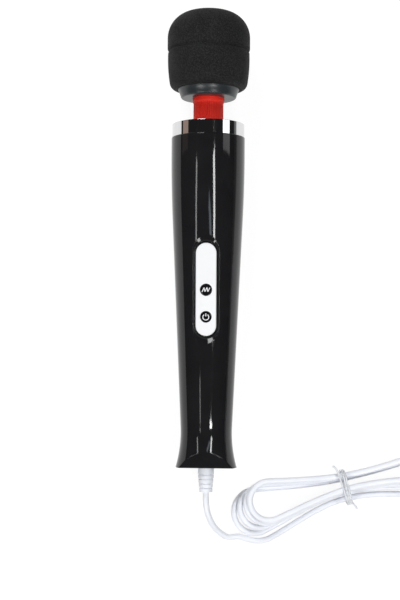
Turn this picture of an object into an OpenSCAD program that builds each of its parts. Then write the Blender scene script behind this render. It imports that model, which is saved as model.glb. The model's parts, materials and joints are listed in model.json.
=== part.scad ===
// Handheld wand massager with a flexible neck, a padded head and a two-button keypad.
// The wand is drawn standing on its foot and then laid on a table, keypad up, with the head towards +Y.
// All sizes are in millimetres.

/* [Handle] */
// Length of the handle from the foot to the chrome ring
handle_l = 229; // [215:1:245]
// Diameter of the straight part under the chrome ring
handle_top_d = 51.4; // [49:0.1:54]
// Height where the taper meets the straight part
shoulder_z = 196; // [185:1:205]
// Radius that blends the taper into the straight part
blend_r = 1000; // [600:50:1200]
// Diameter where the taper meets the foot's flare
waist_d = 35.8; // [34:0.1:38]
// Height where the flare begins
waist_z = 28; // [24:1:32]
// Radius of the foot's flare
flare_r = 86; // [72:1:102]
// Thickness of the foot between its front and back facets
foot_t = 21; // [18:0.5:24]
// Height of the facets on the foot
facet_h = 11.4; // [8:0.2:14]
// Wall of the handle's shells
wall = 2.4; // [2:0.1:3]
// Thickness of the foot's floor
foot_floor = 3; // [2:0.1:4]

/* [Chrome ring] */
// Height of the chrome ring
ring_h = 9.5; // [8:0.5:12]
// Diameter of the chrome ring
ring_d = 50.6; // [49:0.1:52]
// Thickness of the ring's band
ring_t = 1.7; // [1.2:0.1:2.2]
// Thickness of the ring's inward flange
ring_flange_t = 2.5; // [2:0.1:3]

/* [Neck] */
// Length of the neck that shows between ring and collar
neck_l = 18.7; // [14:0.1:24]
// Diameter of the neck
neck_d = 21; // [19:0.1:23]
// Wall of the neck sleeve
neck_wall = 2.5; // [2:0.1:3]
// Number of flutes round the neck
flute_count = 48; // [24:1:60]
// Diameter of the plain band under the collar
neck_band_d = 22.6; // [21:0.1:24]
// Height of the plain band
neck_band_h = 3.8; // [3:0.1:5]
// Radius of each flute
flute_r = 0.45; // [0.3:0.05:0.6]

/* [Head] */
// Height of the collar under the head
collar_h = 6.3; // [5.5:0.1:8]
// Diameter of the collar's lip
collar_d = 43; // [42.5:0.1:46]
// Diameter of the collar's lower rim
collar_base_d = 39.2; // [36:0.1:41]
// Height of the cushion from the collar to the crown
head_h = 55.7; // [54:0.1:64]
// Diameter of the upper band of the cushion
head_d = 58; // [56:0.1:62]
// Diameter of the lower band of the cushion
head_low_d = 57.4; // [55:0.1:58]
// Height of the groove above the cushion's lower edge
groove_h = 26.8; // [24:0.1:30]
// Depth of the groove
groove_depth = 0.8; // [0.4:0.1:1.2]
// Height of the straight band above the groove
band_h = 8.5; // [6:0.5:9]
// Radius of the rounded lower edge of the cushion
hem_r = 5; // [4:0.1:6]
// Height of the widest place of the lower band
swell_h = 21.5; // [20:0.5:24]
// Radius of the lower band's gentle swell
swell_r = 107; // [95:1:120]
// Radius of the cushion's crown
crown_r = 80; // [70:1:90]
// Diameter of the rigid core inside the cushion
core_d = 40; // [38:0.1:41]
// Cushion thickness over the core's top
crown_t = 14; // [10:0.5:16]

/* [Keypad] */
// Distance from the chrome ring down to the keypad's centre
key_drop = 107; // [101:1:113]
// Length of the white keypad panel
key_l = 63.4; // [58:0.2:68]
// Width of the keypad panel
key_w = 14; // [12:0.2:15]
// Thickness of the keypad panel
key_t = 1.8; // [1.4:0.1:2.2]
// Depth of the recess below the handle's front line
recess_depth = 2.7; // [2.3:0.1:3.2]
// Flat margin round the panel in the recess
recess_margin = 1.3; // [0.5:0.1:1.6]
// Slope width of the recess's edge
recess_bevel = 1.7; // [1:0.1:2]
// Diameter of the mode button
mode_d = 7.8; // [6:0.1:9]
// Diameter of the power button
power_d = 7.4; // [6:0.1:9]
// Mode button's place above the keypad's centre
mode_at = -0.3; // [-2:0.1:4]
// Power button's place above the keypad's centre
power_at = -18.7; // [-20:0.1:-16]
// How far the buttons stand above the panel
button_proud = 0.5; // [0.3:0.1:0.8]
// How far a button can be pressed
button_travel = 0.6; // [0.4:0.1:0.8]

/* [Motor] */
// Diameter of the motor's can
motor_d = 36; // [32:0.5:37]
// Length of the motor's can
motor_l = 50; // [44:1:54]
// Gap between the motor and the deck that closes the handle
motor_gap = 10.5; // [8:0.5:12]
// Diameter of the motor's shaft
motor_shaft_d = 3.2; // [3:0.1:4]
// Outer diameter of the rubber rings round the motor
mount_d = 41.6; // [40:0.2:42.4]
// Height of each rubber ring
mount_h = 7; // [5:0.5:8]

/* [Head drive] */
// Diameter of the shaft in the head
drive_shaft_d = 6; // [5:0.1:7]
// Outer diameter of the lower bearing
lower_bearing_d = 17; // [15:0.5:19]
// Height of the lower bearing
lower_bearing_h = 6; // [5:0.5:7]
// Outer diameter of the upper bearing
upper_bearing_d = 16; // [13:0.5:17]
// Height of the upper bearing
upper_bearing_h = 5; // [4:0.5:6]
// Radius of the eccentric weight
weight_r = 12.2; // [10:0.1:12.5]
// Height of the eccentric weight
weight_h = 17; // [12:0.5:18]

/* [Cord] */
// Diameter of the cord
cord_d = 4.2; // [3.8:0.1:4.3]
// Length of the strain relief outside the foot
relief_l = 17; // [16:0.5:18]
// Diameter of the strain relief at the foot
relief_d = 11.2; // [9.6:0.1:12]
// Diameter of the strain relief at its tip
relief_tip_d = 9; // [8:0.1:9.5]
// Number of ribs on the strain relief
rib_count = 4; // [3:1:6]
// Turns of cord in the hank
hank_turns = 4.5;
// Width of the plug's body
plug_w = 35; // [34:0.5:38]
// Thickness of the plug's body
plug_t = 13.7; // [12:0.1:15]
// Length of the plug's body
plug_l = 28; // [24:1:32]
// Diameter of the plug's pins
pin_d = 4; // [3.9:0.05:4.2]
// Length of the plug's pins
pin_l = 19; // [18:0.5:20]
// Distance between the plug's pins
pin_gap = 19; // [18:0.1:20]

/* [Hidden] */
$fn = 96;

// Clearances
fit = 0.05;
gap = 0.3;
far = 80;

// Handle
top_r = handle_top_d / 2;
waist_r = waist_d / 2;
taper = atan((top_r - waist_r) / (shoulder_z - waist_z));
flare_c = [waist_r + flare_r * cos(taper), waist_z - flare_r * sin(taper)];
flare_end = asin(flare_c.y / flare_r);
blend_c = [top_r - blend_r, shoulder_z + blend_r * tan(taper / 2)];
facet_angle = atan((flare_radius(facet_h) - foot_t / 2) / facet_h);
arc_steps = 10;

// Heights along the wand
key_z = handle_l - key_drop;
ring_z = handle_l;
ring_top = ring_z + ring_h;
collar_z = ring_top + neck_l;
head_z = collar_z + collar_h;
crown_z = head_z + head_h;
deck_below = 2.5;
deck_above = 3;
deck_z = handle_l + deck_above;
motor_top = handle_l - deck_below - motor_gap;
motor_z = motor_top - motor_l;
deck_hole_r = neck_d / 2 - neck_wall + 3;
spigot_r = ring_d / 2 - ring_t - fit;
spigot_top = ring_top - ring_flange_t - fit;
ring_hole_r = neck_d / 2 + 1;

// Head
band_z = head_z + groove_h + 1;
low_r = head_low_d / 2;
high_r = head_d / 2;
swell_c = [low_r - swell_r, head_z + swell_h];
hem_angle = asin((swell_h - hem_r) / (swell_r - hem_r));
hem_c = swell_c + (swell_r - hem_r) * [cos(hem_angle), -sin(hem_angle)];
crown_c = [0, crown_z - crown_r];
shoulder_rise = band_z + band_h - crown_c.y;
crown_edge_r = (pow(crown_r, 2) - pow(shoulder_rise, 2) - pow(high_r, 2)) / (2 * (crown_r - high_r));
crown_edge_c = [high_r - crown_edge_r, band_z + band_h];
crown_lean = atan2(shoulder_rise, crown_edge_c.x);
core_r = core_d / 2;
collar_floor = 2;
plate_t = 3;
plate_z = head_z - plate_t + 0.8;
core_z = plate_z + plate_t;
core_top = crown_z - crown_t;
core_wall = 2;
sleeve_top_r = 13;
neck_band_step = 0.6;
bearing_lip = 1;
lower_bearing_z = core_z + bearing_lip;
upper_bearing_z = core_top - core_wall - 1.5 - upper_bearing_h;
upper_journal_d = drive_shaft_d - 1;
drive_shaft_z = collar_z - 6;
weight_z = (lower_bearing_z + lower_bearing_h + upper_bearing_z - weight_h) / 2;
head_screw_count = 3;
head_screw_r = core_r - core_wall - 2.4;
head_screw_boss_r = 2.6;
head_screw_boss_h = 12;

// Resting on the table: the head's widest place touches it, with the foot or the handle's shoulder
foot_rest = [flare_radius(facet_h), facet_h];
lay_tilt = max(rest_tilt(swell_c, swell_r), rest_tilt([high_r, band_z], 0));
lay_z = max(rest_height(swell_c, swell_r), rest_height([high_r, band_z], 0));
lay_y = -(crown_z * cos(lay_tilt) - foot_t / 2 * sin(lay_tilt)) / 2;

// Keypad, measured from the handle's front line: up is towards the head, out is away from the wand
key_r = taper_radius(key_z);
panel_top = key_t - recess_depth;
flange_t = 0.8;
flange_over = 1;
flange_top = -recess_depth - gap;
pocket_floor = flange_top - flange_t - button_travel - gap;
bed_t = 1.2;
bed_back = pocket_floor - bed_t;
stem_r = 1.5;
stem_end = bed_back - 0.9;
switch_size = 6;
switch_h = 2.8;
switch_top = bed_back - gap - 0.2;
board_top = switch_top - switch_h;
board_t = 1.6;
board_l = 60;
board_w = 22;
board_back = board_top - board_t;
post_x = 8.5;
post_y = 27.5;
post_r = 2.2;
capacitor_r = 5;
capacitor_l = 14;
capacitor_x = 5.4;
capacitor_y = 8;
rectifier = [10, 4, 6];
rectifier_y = -7;
choke_r = 4.4;
choke_wire_r = 2.2;
choke_y = -14.5;
block = [10, 6, 8];
supply_block_y = -25.5;
motor_block_y = 18.5;
block_wire_x = 3;
wire_bite = 0.8;

// Screws
screw_r = 1.4;
screw_head_r = 2.6;
screw_head_h = 2.2;
screw_seat = 8;
boss_r = 3.4;
upper_screw_x = 14.5;
upper_screw_z = motor_z - 8.6;
lower_screw_x = 10.5;
lower_screw_z = 62;
small_screw_r = 1.1;
small_head_r = 2.2;
small_head_h = 1.5;

// Motor
motor_r = motor_d / 2;
can_wall = 1.2;
end_cap_t = 5;
motor_nose_r = 6.4;
motor_nose_h = 3;
bush_r = 3.2;
bush_h = 5;
mount_r = mount_d / 2;
front_mount_z = motor_top - mount_h - 1;
rear_mount_z = motor_z + 0.5;
shaft_r = motor_shaft_d / 2;
armature_r = 11.5;
armature_low_gap = 10;
armature_high_gap = 12;
armature_z = motor_z + armature_low_gap;
armature_h = motor_l - armature_low_gap - armature_high_gap;
armature_poles = 5;
armature_slot_r = 2.6;
armature_slot_at = 7.4;
armature_mouth = 1.6;
magnet_inner_r = armature_r + 0.6;
magnet_span = 140;
magnet_over = 2;
terminal_x = 9;
terminal_t = 0.8;
terminal_w = 4.8;
terminal_h = 4;
rim_t = 2;
rim_h = 4;
commutator_r = 4;
commutator_h = 6;
hub_r = 5.2;
hub_h = 7;
hose_r = 4.2;
hose_wall = 1.6;
lower_hub_z = ring_z - 6.5;
upper_hub_z = drive_shaft_z - 0.4;

// Cord inside the foot
cord_r = cord_d / 2;
relief_neck_r = 5;
relief_flange_r = 6.6;
relief_flange_t = 2.4;
clamp_z = 14;
clamp_h = 6;
clamp_w = 18;
clamp_t = 2.4;
clamp_screw_x = 6.2;
inner_end_z = 26;
wire_r = 0.8;
wire_sides = 6;

// Cord outside: the lead's way from the strain relief to the hank
lead_way = [
    [0.4, -186.5, 16.6], [1.6, -192.2, 14.8], [3.7, -197.6, 12.2],
    [6.7, -202.2, 9.2], [10.6, -205.9, 6.2], [15.6, -208.7, 3.7]
];
lead_sides = 8;

// Cord outside: the hank, with its sizes after each whole turn
hank_at = [97, -174];
hank_turned = 13;
hank_start = 0.07;
hank_end_r = [19.8, 15, 13.8, 13.4, 13.4, 13.4];
hank_reach = [82, 80, 78, 76, 76, 76];
hank_reach_more = 10;
hank_waist = [9, 4.5, 4.5, 4.5, 4.5, 4.5];
hank_shift = [-4, -2.5, 0, 2.5, 4, 5];
hank_slide = [0, 0, 3, 6, 9, 9];
hank_gather = 0.5;
hank_bow = 3.5;
hank_bend = 101;
hank_layer_step = cord_d + 0.5;
hank_lift = 1.4;
climb_from = 0.02;
climb_to = 0.42;
loop_rings = 24;
hank_sides = 6;

// Cord outside: the tail's way from the hank to the plug
tail_way = [
    [189.3, -137, 20.2], [189.6, -129, 17.6], [189.8, -121, 13.7], [190, -113, 9.4], [190, -105, 5.6],
    [190, -97, 3], [190, -88, 2.3], [190, -79, 3.2], [190, -70, 5.2]
];
plug_at = [190, -57, plug_t / 2];
plug_boot_l = 12;
plug_boot_r = 4.4;
plug_round = 5;
tie_t = 0.8;
tie_w = 4;
tie_round = 4;
tie_tail_l = 10;

// Radius of the tapered part of the handle at a height
function taper_radius(z) = waist_r + (z - waist_z) * tan(taper);

// Radius of the foot's flare at a height
function flare_radius(z) = flare_c.x - sqrt(pow(flare_r, 2) - pow(flare_c.y - z, 2));

// Points of an arc, from one angle to another
function arc(centre, r, from, to) =
    [for (i = [0:arc_steps]) let (a = from + (to - from) * i / arc_steps) centre + r * [cos(a), sin(a)]];

// Half outline of the handle, drawn in by an inset
function handle_outline(inset) =
    let (flare = arc(flare_c, flare_r + inset, 180 + flare_end, 180 - taper))
    concat(
        [[0, flare[0].y]],
        flare,
        arc(blend_c, blend_r - inset, -taper, 0),
        [[top_r - inset, handle_l], [0, handle_l]]
    );

// Half outline of the cushion with its hem, groove and crown
function cushion_outline() =
    concat(
        [[0, head_z]],
        arc(hem_c, hem_r, -90, -hem_angle),
        arc(swell_c, swell_r, -hem_angle, asin((groove_h - 0.8 - swell_h) / swell_r)),
        [
            [low_r - groove_depth, band_z - 1.2],
            [low_r - groove_depth, band_z - 0.8],
            [high_r, band_z]
        ],
        arc(crown_edge_c, crown_edge_r, 0, crown_lean),
        arc(crown_c, crown_r, crown_lean, 90)
    );

// Tilt of a line under two circles beside the axis, the first on the head and the second on the handle
function tangent_tilt(c, r, d, s) =
    acos((s - r) / norm(c - d)) - atan2(c.y - d.y, c.x - d.x);
function rest_tilt(c, r) = min(tangent_tilt(c, r, foot_rest, 0), tangent_tilt(c, r, blend_c, blend_r));
function rest_height(c, r) = r + c.x * cos(lay_tilt) - c.y * sin(lay_tilt);

// Sweep of a round section along points
function unit(v) = v / norm(v);
function heading(p, i) = unit(p[min(i + 1, len(p) - 1)] - p[max(i - 1, 0)]);
function section(centre, along, r, sides, up) =
    let (side = unit(cross(along, up)), rise = cross(side, along))
    [for (k = [0:sides - 1]) centre + r * (cos(360 * k / sides) * side + sin(360 * k / sides) * rise)];

module tube(points, r, sides, up = [0, 0, 1]) {
    rings = [for (i = [0:len(points) - 1]) each section(points[i], heading(points, i), r, sides, up)];
    last = (len(points) - 1) * sides;
    walls = [
        for (i = [0:len(points) - 2], k = [0:sides - 1])
        let (a = i * sides + k, b = i * sides + (k + 1) % sides)
        each [[a, b, b + sides], [a, b + sides, a + sides]]
    ];
    ends = [for (k = [1:sides - 2]) each [[0, k + 1, k], [last, last + k, last + k + 1]]];
    polyhedron(rings, concat(walls, ends), convexity = 6);
}

// Side of a lobe of the hank from its end to the waist, as distances from the end and from the middle
function lobe_side(t, r, reach, waist) =
    let (
        turned = hank_bend * min(2 * t, 1),
        x = max(2 * t - 1, 0),
        bent = r * [1 - cos(turned), sin(turned)],
        way = [reach, waist] - bent,
        leave = (1 - x) * [sin(turned), cos(turned)],
        arrive = x * [1, 0]
    )
    bent + way * x * x * (3 - 2 * x) + norm(way) * x * (1 - x) * (leave - arrive);

// Place of the cord in the hank after a number of turns
function ease(x) = let (c = min(max(x, 0), 1)) c * c * (3 - 2 * c);
function after(sizes, s) =
    let (k = min(floor(s), len(sizes) - 2))
    sizes[k] + (sizes[k + 1] - sizes[k]) * ease(s - k);
function hank_layer(s) =
    max(floor(s) - 1 + ease((s - floor(s) - climb_from) / (climb_to - climb_from)), 0);
function hank_point(s) =
    let (
        part = 4 * (s - floor(s)),
        quarter = min(floor(part), 3),
        t = quarter % 2 == 0 ? part - quarter : 1 - part + quarter,
        side = quarter < 2 ? -1 : 1,
        end = quarter == 0 || quarter == 3 ? -1 : 1,
        reach = after(hank_reach, s) + (end > 0 ? hank_reach_more : 0),
        lobe = lobe_side(t, after(hank_end_r, s), reach, after(hank_waist, s)),
        from_waist = end * (reach - lobe.x),
        drawn = pow(cos(90 * min(abs(from_waist) / reach, 1)), 2),
        u = from_waist + after(hank_slide, s),
        v = side * lobe.y + after(hank_shift, s) * (1 - hank_gather * drawn) + hank_bow * drawn
    )
    [
        hank_at.x + u * cos(hank_turned) - v * sin(hank_turned),
        hank_at.y + u * sin(hank_turned) + v * cos(hank_turned),
        cord_r + hank_layer(s) * hank_layer_step + hank_lift * pow(sin(360 * s), 8)
    ];
hank_rings = round((hank_turns - hank_start) * loop_rings);
function hank_turn(i) = hank_start + (hank_turns - hank_start) * i / hank_rings;
hank_run = [for (i = [0:hank_rings]) hank_point(hank_turn(i))];
hank_path = concat(
    [hank_run[0] - cord_d * unit(hank_run[1] - hank_run[0])],
    hank_run,
    [hank_run[hank_rings] + cord_d * unit(hank_run[hank_rings] - hank_run[hank_rings - 1])]
);
function hank_mid(i) = (hank_run[floor(i)] + hank_run[ceil(i)]) / 2;
hank_gap = min([
    for (i = [0:0.5:hank_rings - loop_rings / 2], j = [i + loop_rings / 2:0.5:hank_rings])
    norm(hank_mid(i) - hank_mid(j))
]) - cord_d;

// Places where the hank passes through its tie, across the hank and up
tie_marks = [
    for (i = [0:hank_rings - 1], k = [0:0.05:1])
    let (
        p = hank_run[i] * (1 - k) + hank_run[i + 1] * k - [hank_at.x, hank_at.y, 0],
        along = p.x * cos(hank_turned) + p.y * sin(hank_turned)
    )
    if (abs(along) < tie_w) [p.y * cos(hank_turned) - p.x * sin(hank_turned), p.z]
];

// Lead and tail, whose ends follow the strain relief, the hank and the plug
wand_axis = [0, cos(lay_tilt), sin(lay_tilt)];
relief_tip = [0, lay_y, lay_z] - relief_l * wand_axis;
hank_first = hank_path[0];
hank_last = hank_path[len(hank_path) - 1];
lead_points = concat(
    [relief_tip, relief_tip - cord_d * wand_axis],
    lead_way,
    [hank_first - cord_d * unit(hank_path[1] - hank_first), hank_first]
);
tail_points = concat([hank_last], tail_way, [plug_at - [0, cord_d, 0], plug_at]);
function run_length(p, i = 0) = i >= len(p) - 1 ? 0 : norm(p[i + 1] - p[i]) + run_length(p, i + 1);
echo(hank_gap = hank_gap, cord_length = run_length(lead_points) + run_length(hank_run) + run_length(tail_points));
echo(lay_tilt = lay_tilt, lay_y = lay_y, lay_z = lay_z, taper = taper, crown_z = crown_z);

// Lays the wand on the table
module lie() {
    translate([0, lay_y, lay_z])
        rotate([lay_tilt - 90, 0, 0])
            children();
}

// Works on the keypad: X across, Y towards the head, Z out of the handle's front line
module on_keypad() {
    translate([0, -key_r, key_z])
        rotate([90 + taper, 0, 0])
            children();
}

// Prism with round ends along Y, whose sides lean out from a lower to an upper half width
module stadium(l, low_r, high_r, from, to) {
    straight = l / 2;
    for (end = [-1, 1])
        translate([0, end * straight, from])
            cylinder(r1 = low_r, r2 = high_r, h = to - from);
    rotate([90, 0, 0])
        translate([0, 0, -straight])
            linear_extrude(2 * straight)
                polygon([[-low_r, from], [low_r, from], [high_r, to], [-high_r, to]]);
}

module ring_solid(outer, inner, from, to) {
    translate([0, 0, from])
        difference() {
            cylinder(r = outer, h = to - from);
            translate([0, 0, -1])
                cylinder(r = inner, h = to - from + 2);
        }
}

// Outer form of the handle with the two facets of its foot, drawn in by an inset
module handle_form(inset = 0) {
    difference() {
        rotate_extrude()
            polygon(handle_outline(inset));
        for (turn = [0, 180])
            rotate(turn)
                translate([0, -foot_t / 2, 0])
                    rotate([facet_angle, 0, 0])
                        translate([-far / 2, inset - far, -far / 2])
                            cube([far, far, far]);
    }
}

module shell_wall() {
    difference() {
        union() {
            handle_form();
            translate([0, 0, handle_l - 1])
                cylinder(r = spigot_r, h = spigot_top - handle_l + 1);
        }
        intersection() {
            handle_form(wall);
            translate([-far, -far, foot_floor])
                cube([2 * far, 2 * far, handle_l - deck_below - foot_floor]);
        }
        translate([0, 0, deck_z])
            cylinder(r = spigot_r - wall, h = far);
        translate([0, 0, handle_l - far / 2])
            cylinder(r = deck_hole_r, h = far);
        translate([0, 0, -1])
            cylinder(r = relief_neck_r + fit, h = foot_floor + 2);
    }
}

// Ribs that hold the rubber rings of the motor
module motor_seats() {
    for (z = [rear_mount_z, front_mount_z])
        difference() {
            intersection() {
                translate([0, 0, z])
                    cylinder(r = far / 2, h = mount_h);
                handle_form(wall / 2);
            }
            translate([0, 0, z - 1])
                cylinder(r = mount_r, h = mount_h + 2);
        }
}

module at_shell_screws() {
    for (side = [-1, 1]) {
        translate([side * upper_screw_x, 0, upper_screw_z])
            rotate([-90, 0, 0])
                children();
        translate([side * lower_screw_x, 0, lower_screw_z])
            rotate([-90, 0, 0])
                children();
    }
}

module screw_bosses() {
    intersection() {
        at_shell_screws()
            translate([0, 0, -far / 2])
                cylinder(r = boss_r, h = far);
        handle_form(wall / 2);
    }
}

module front_half() {
    translate([-far, -2 * far, -far])
        cube([2 * far, 2 * far, 6 * far]);
}

module rear_half() {
    translate([-far, 0, -far])
        cube([2 * far, 2 * far, 6 * far]);
}

module keypad_bed() {
    intersection() {
        on_keypad()
            stadium(key_l - key_w, key_w / 2 + recess_margin + 1.5, key_w / 2 + recess_margin + 1.5, bed_back, 0);
        handle_form(wall / 2);
    }
    on_keypad()
        for (x = [-post_x, post_x], y = [-post_y, post_y])
            translate([x, y, board_top])
                cylinder(r = post_r, h = -recess_depth - 1 - board_top);
}

module keypad_cuts() {
    on_keypad() {
        floor_r = key_w / 2 + recess_margin;
        stadium(key_l - key_w, floor_r, floor_r + recess_bevel * 2, -recess_depth, recess_depth);
        for (b = [[mode_at, mode_d], [power_at, power_d]])
            translate([0, b[0], 0]) {
                translate([0, 0, pocket_floor])
                    cylinder(r = b[1] / 2 + flange_over + gap, h = far / 4);
                translate([0, 0, bed_back - 1])
                    cylinder(r = stem_r + gap, h = far / 4);
            }
        for (x = [-post_x, post_x], y = [-post_y, post_y])
            translate([x, y, board_top - 1])
                cylinder(r = small_screw_r + fit, h = 4);
    }
}

module front_shell() {
    color([0.11, 0.11, 0.12])
        lie()
            difference() {
                intersection() {
                    union() {
                        shell_wall();
                        motor_seats();
                        screw_bosses();
                        keypad_bed();
                    }
                    front_half();
                }
                keypad_cuts();
                at_shell_screws()
                    translate([0, 0, -screw_seat - 2])
                        cylinder(r = screw_r + fit, h = far);
            }
}

module rear_shell() {
    color([0.11, 0.11, 0.12])
        lie()
            difference() {
                intersection() {
                    union() {
                        shell_wall();
                        motor_seats();
                        screw_bosses();
                        clamp_saddle();
                    }
                    rear_half();
                }
                at_shell_screws() {
                    translate([0, 0, -1])
                        cylinder(r = screw_r + fit, h = far);
                    translate([0, 0, screw_seat])
                        cylinder(r = screw_head_r + gap, h = far);
                }
                at_clamp_screws()
                    translate([0, 0, -far / 4])
                        cylinder(r = small_screw_r + fit, h = far / 4 + 8);
            }
}

module shell_screws() {
    color("silver")
        lie()
            at_shell_screws()
                difference() {
                    union() {
                        translate([0, 0, -screw_seat])
                            cylinder(r = screw_r, h = 2 * screw_seat);
                        translate([0, 0, screw_seat])
                            cylinder(r = screw_head_r, h = screw_head_h);
                    }
                    for (turn = [0, 90])
                        rotate(turn)
                            translate([-1.5, -0.3, screw_seat + screw_head_h - 0.9])
                                cube([3, 0.6, 2]);
                }
}

module trim_ring() {
    outer = ring_d / 2;
    color([0.8, 0.8, 0.82])
        lie()
            rotate_extrude()
                polygon(concat(
                    [
                        [ring_hole_r, ring_top - ring_flange_t],
                        [outer - ring_t, ring_top - ring_flange_t],
                        [outer - ring_t, ring_z],
                        [outer - 0.4, ring_z],
                        [outer, ring_z + 0.4]
                    ],
                    arc([outer - 1.5, ring_top - 1.5], 1.5, 0, 90),
                    [[ring_hole_r, ring_top]]
                ));
}

module keypad_panel() {
    color("white")
        lie()
            on_keypad()
                difference() {
                    union() {
                        stadium(key_l - key_w, key_w / 2, key_w / 2, -recess_depth, panel_top - 0.4);
                        stadium(key_l - key_w, key_w / 2, key_w / 2 - 0.4, panel_top - 0.4, panel_top);
                    }
                    for (b = [[mode_at, mode_d], [power_at, power_d]])
                        translate([0, b[0], -recess_depth - 1])
                            cylinder(r = b[1] / 2 + gap, h = far);
                }
}

// Button cap with a rounded top edge, a flange under the panel and a stem to its switch
module button(d) {
    round_r = 0.4;
    top = panel_top + button_proud;
    rotate_extrude()
        polygon(concat(
            [
                [0, stem_end],
                [stem_r, stem_end],
                [stem_r, flange_top - flange_t],
                [d / 2 + flange_over, flange_top - flange_t],
                [d / 2 + flange_over, flange_top],
                [d / 2, flange_top]
            ],
            arc([d / 2 - round_r, top - round_r], round_r, 0, 90),
            [[0, top]]
        ));
}

module mode_button() {
    color([0.1, 0.1, 0.11])
        lie()
            on_keypad()
                translate([0, mode_at, 0])
                    button(mode_d);
}

module power_button() {
    color([0.1, 0.1, 0.11])
        lie()
            on_keypad()
                translate([0, power_at, 0])
                    button(power_d);
}

module control_board() {
    color("green")
        lie()
            on_keypad()
                difference() {
                    translate([-board_w / 2, -board_l / 2, board_back])
                        cube([board_w, board_l, board_t]);
                    for (x = [-post_x, post_x], y = [-post_y, post_y])
                        translate([x, y, board_back - 1])
                            cylinder(r = small_screw_r + gap, h = board_t + 2);
                }
}

module board_screws() {
    color("silver")
        lie()
            on_keypad()
                for (x = [-post_x, post_x], y = [-post_y, post_y])
                    translate([x, y, 0]) {
                        translate([0, 0, board_back - small_head_h])
                            cylinder(r = small_head_r, h = small_head_h);
                        translate([0, 0, board_back - 0.1])
                            cylinder(r = small_screw_r, h = board_t + 2.5);
                    }
}

module tact_switches() {
    color("dimgray")
        lie()
            on_keypad()
                for (y = [mode_at, power_at])
                    translate([0, y, 0])
                        difference() {
                            translate([-switch_size / 2, -switch_size / 2, board_top])
                                cube([switch_size, switch_size, switch_h]);
                            translate([0, 0, board_top + 0.5])
                                cylinder(r = stem_r + gap, h = switch_h);
                        }
}

// Parts on the back of the board: two capacitors, a rectifier, a choke and the two terminal blocks
module board_components() {
    color("saddlebrown")
        lie()
            on_keypad() {
                for (x = [-capacitor_x, capacitor_x])
                    translate([x, capacitor_y, board_back - capacitor_l])
                        cylinder(r = capacitor_r, h = capacitor_l);
                translate([-rectifier.x / 2, rectifier_y, board_back - rectifier.z])
                    cube(rectifier);
                translate([0, choke_y, board_back - choke_wire_r])
                    rotate_extrude()
                        translate([choke_r, 0])
                            circle(r = choke_wire_r);
                for (y = [supply_block_y, motor_block_y])
                    translate([-block.x / 2, y, board_back - block.z])
                        cube(block);
            }
}

module motor_can() {
    color([0.6, 0.6, 0.62])
        lie() {
            ring_solid(motor_r, motor_r - can_wall, motor_z, motor_top - can_wall);
            ring_solid(motor_r, bush_r, motor_top - can_wall, motor_top);
            ring_solid(motor_nose_r, bush_r, motor_top, motor_top + motor_nose_h);
        }
}

module motor_end_cap() {
    color([0.2, 0.2, 0.22])
        lie() {
            ring_solid(motor_r, bush_r, motor_z - end_cap_t, motor_z);
            ring_solid(motor_r - can_wall, motor_r - can_wall - rim_t, motor_z, motor_z + rim_h);
            for (x = [-terminal_x, terminal_x])
                translate([x - terminal_t / 2, -terminal_w / 2, motor_z - end_cap_t - terminal_h])
                    cube([terminal_t, terminal_w, terminal_h + 0.2]);
        }
}

module motor_magnets() {
    outer = motor_r - can_wall;
    color([0.25, 0.25, 0.26])
        lie()
            for (turn = [0, 180])
                rotate(turn - magnet_span / 2)
                    translate([0, 0, armature_z - magnet_over])
                        rotate_extrude(angle = magnet_span)
                            translate([magnet_inner_r, 0])
                                square([outer - magnet_inner_r, armature_h + 2 * magnet_over]);
}

module motor_bushes() {
    color([0.72, 0.55, 0.25])
        lie()
            for (z = [motor_top + motor_nose_h - bush_h, motor_z - end_cap_t])
                ring_solid(bush_r, shaft_r + fit, z, z + bush_h);
}

module motor_mount(z) {
    ring_solid(mount_r, motor_r, z, z + mount_h);
}

module front_motor_mount() {
    color([0.16, 0.16, 0.16])
        lie()
            motor_mount(front_mount_z);
}

module rear_motor_mount() {
    color([0.16, 0.16, 0.16])
        lie()
            motor_mount(rear_mount_z);
}

// Laminated core with a round slot and a narrow mouth between its poles
module armature() {
    color([0.55, 0.4, 0.25])
        lie()
            translate([0, 0, armature_z])
                linear_extrude(armature_h)
                    difference() {
                        circle(r = armature_r);
                        circle(r = shaft_r);
                        for (i = [0:armature_poles - 1])
                            rotate(i * 360 / armature_poles) {
                                translate([armature_slot_at, 0])
                                    circle(r = armature_slot_r);
                                translate([armature_slot_at, -armature_mouth / 2])
                                    square([armature_r, armature_mouth]);
                            }
                    }
}

module commutator() {
    color([0.75, 0.45, 0.25])
        lie()
            ring_solid(commutator_r, shaft_r, armature_z - commutator_h - 2, armature_z - 2);
}

module motor_shaft() {
    color("silver")
        lie()
            translate([0, 0, motor_z - end_cap_t - 1])
                cylinder(r = shaft_r, h = lower_hub_z + hub_h - 0.5 - motor_z + end_cap_t + 1);
}

// Rubber hose between two hubs, which bends with the neck
module flex_coupling() {
    color([0.2, 0.2, 0.2])
        lie() {
            ring_solid(hub_r, shaft_r, lower_hub_z, lower_hub_z + hub_h - 0.5);
            ring_solid(hose_r, hose_r - hose_wall, lower_hub_z + hub_h - 0.5, upper_hub_z);
            ring_solid(hub_r, drive_shaft_d / 2 + fit, upper_hub_z, upper_hub_z + hub_h);
        }
}

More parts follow.
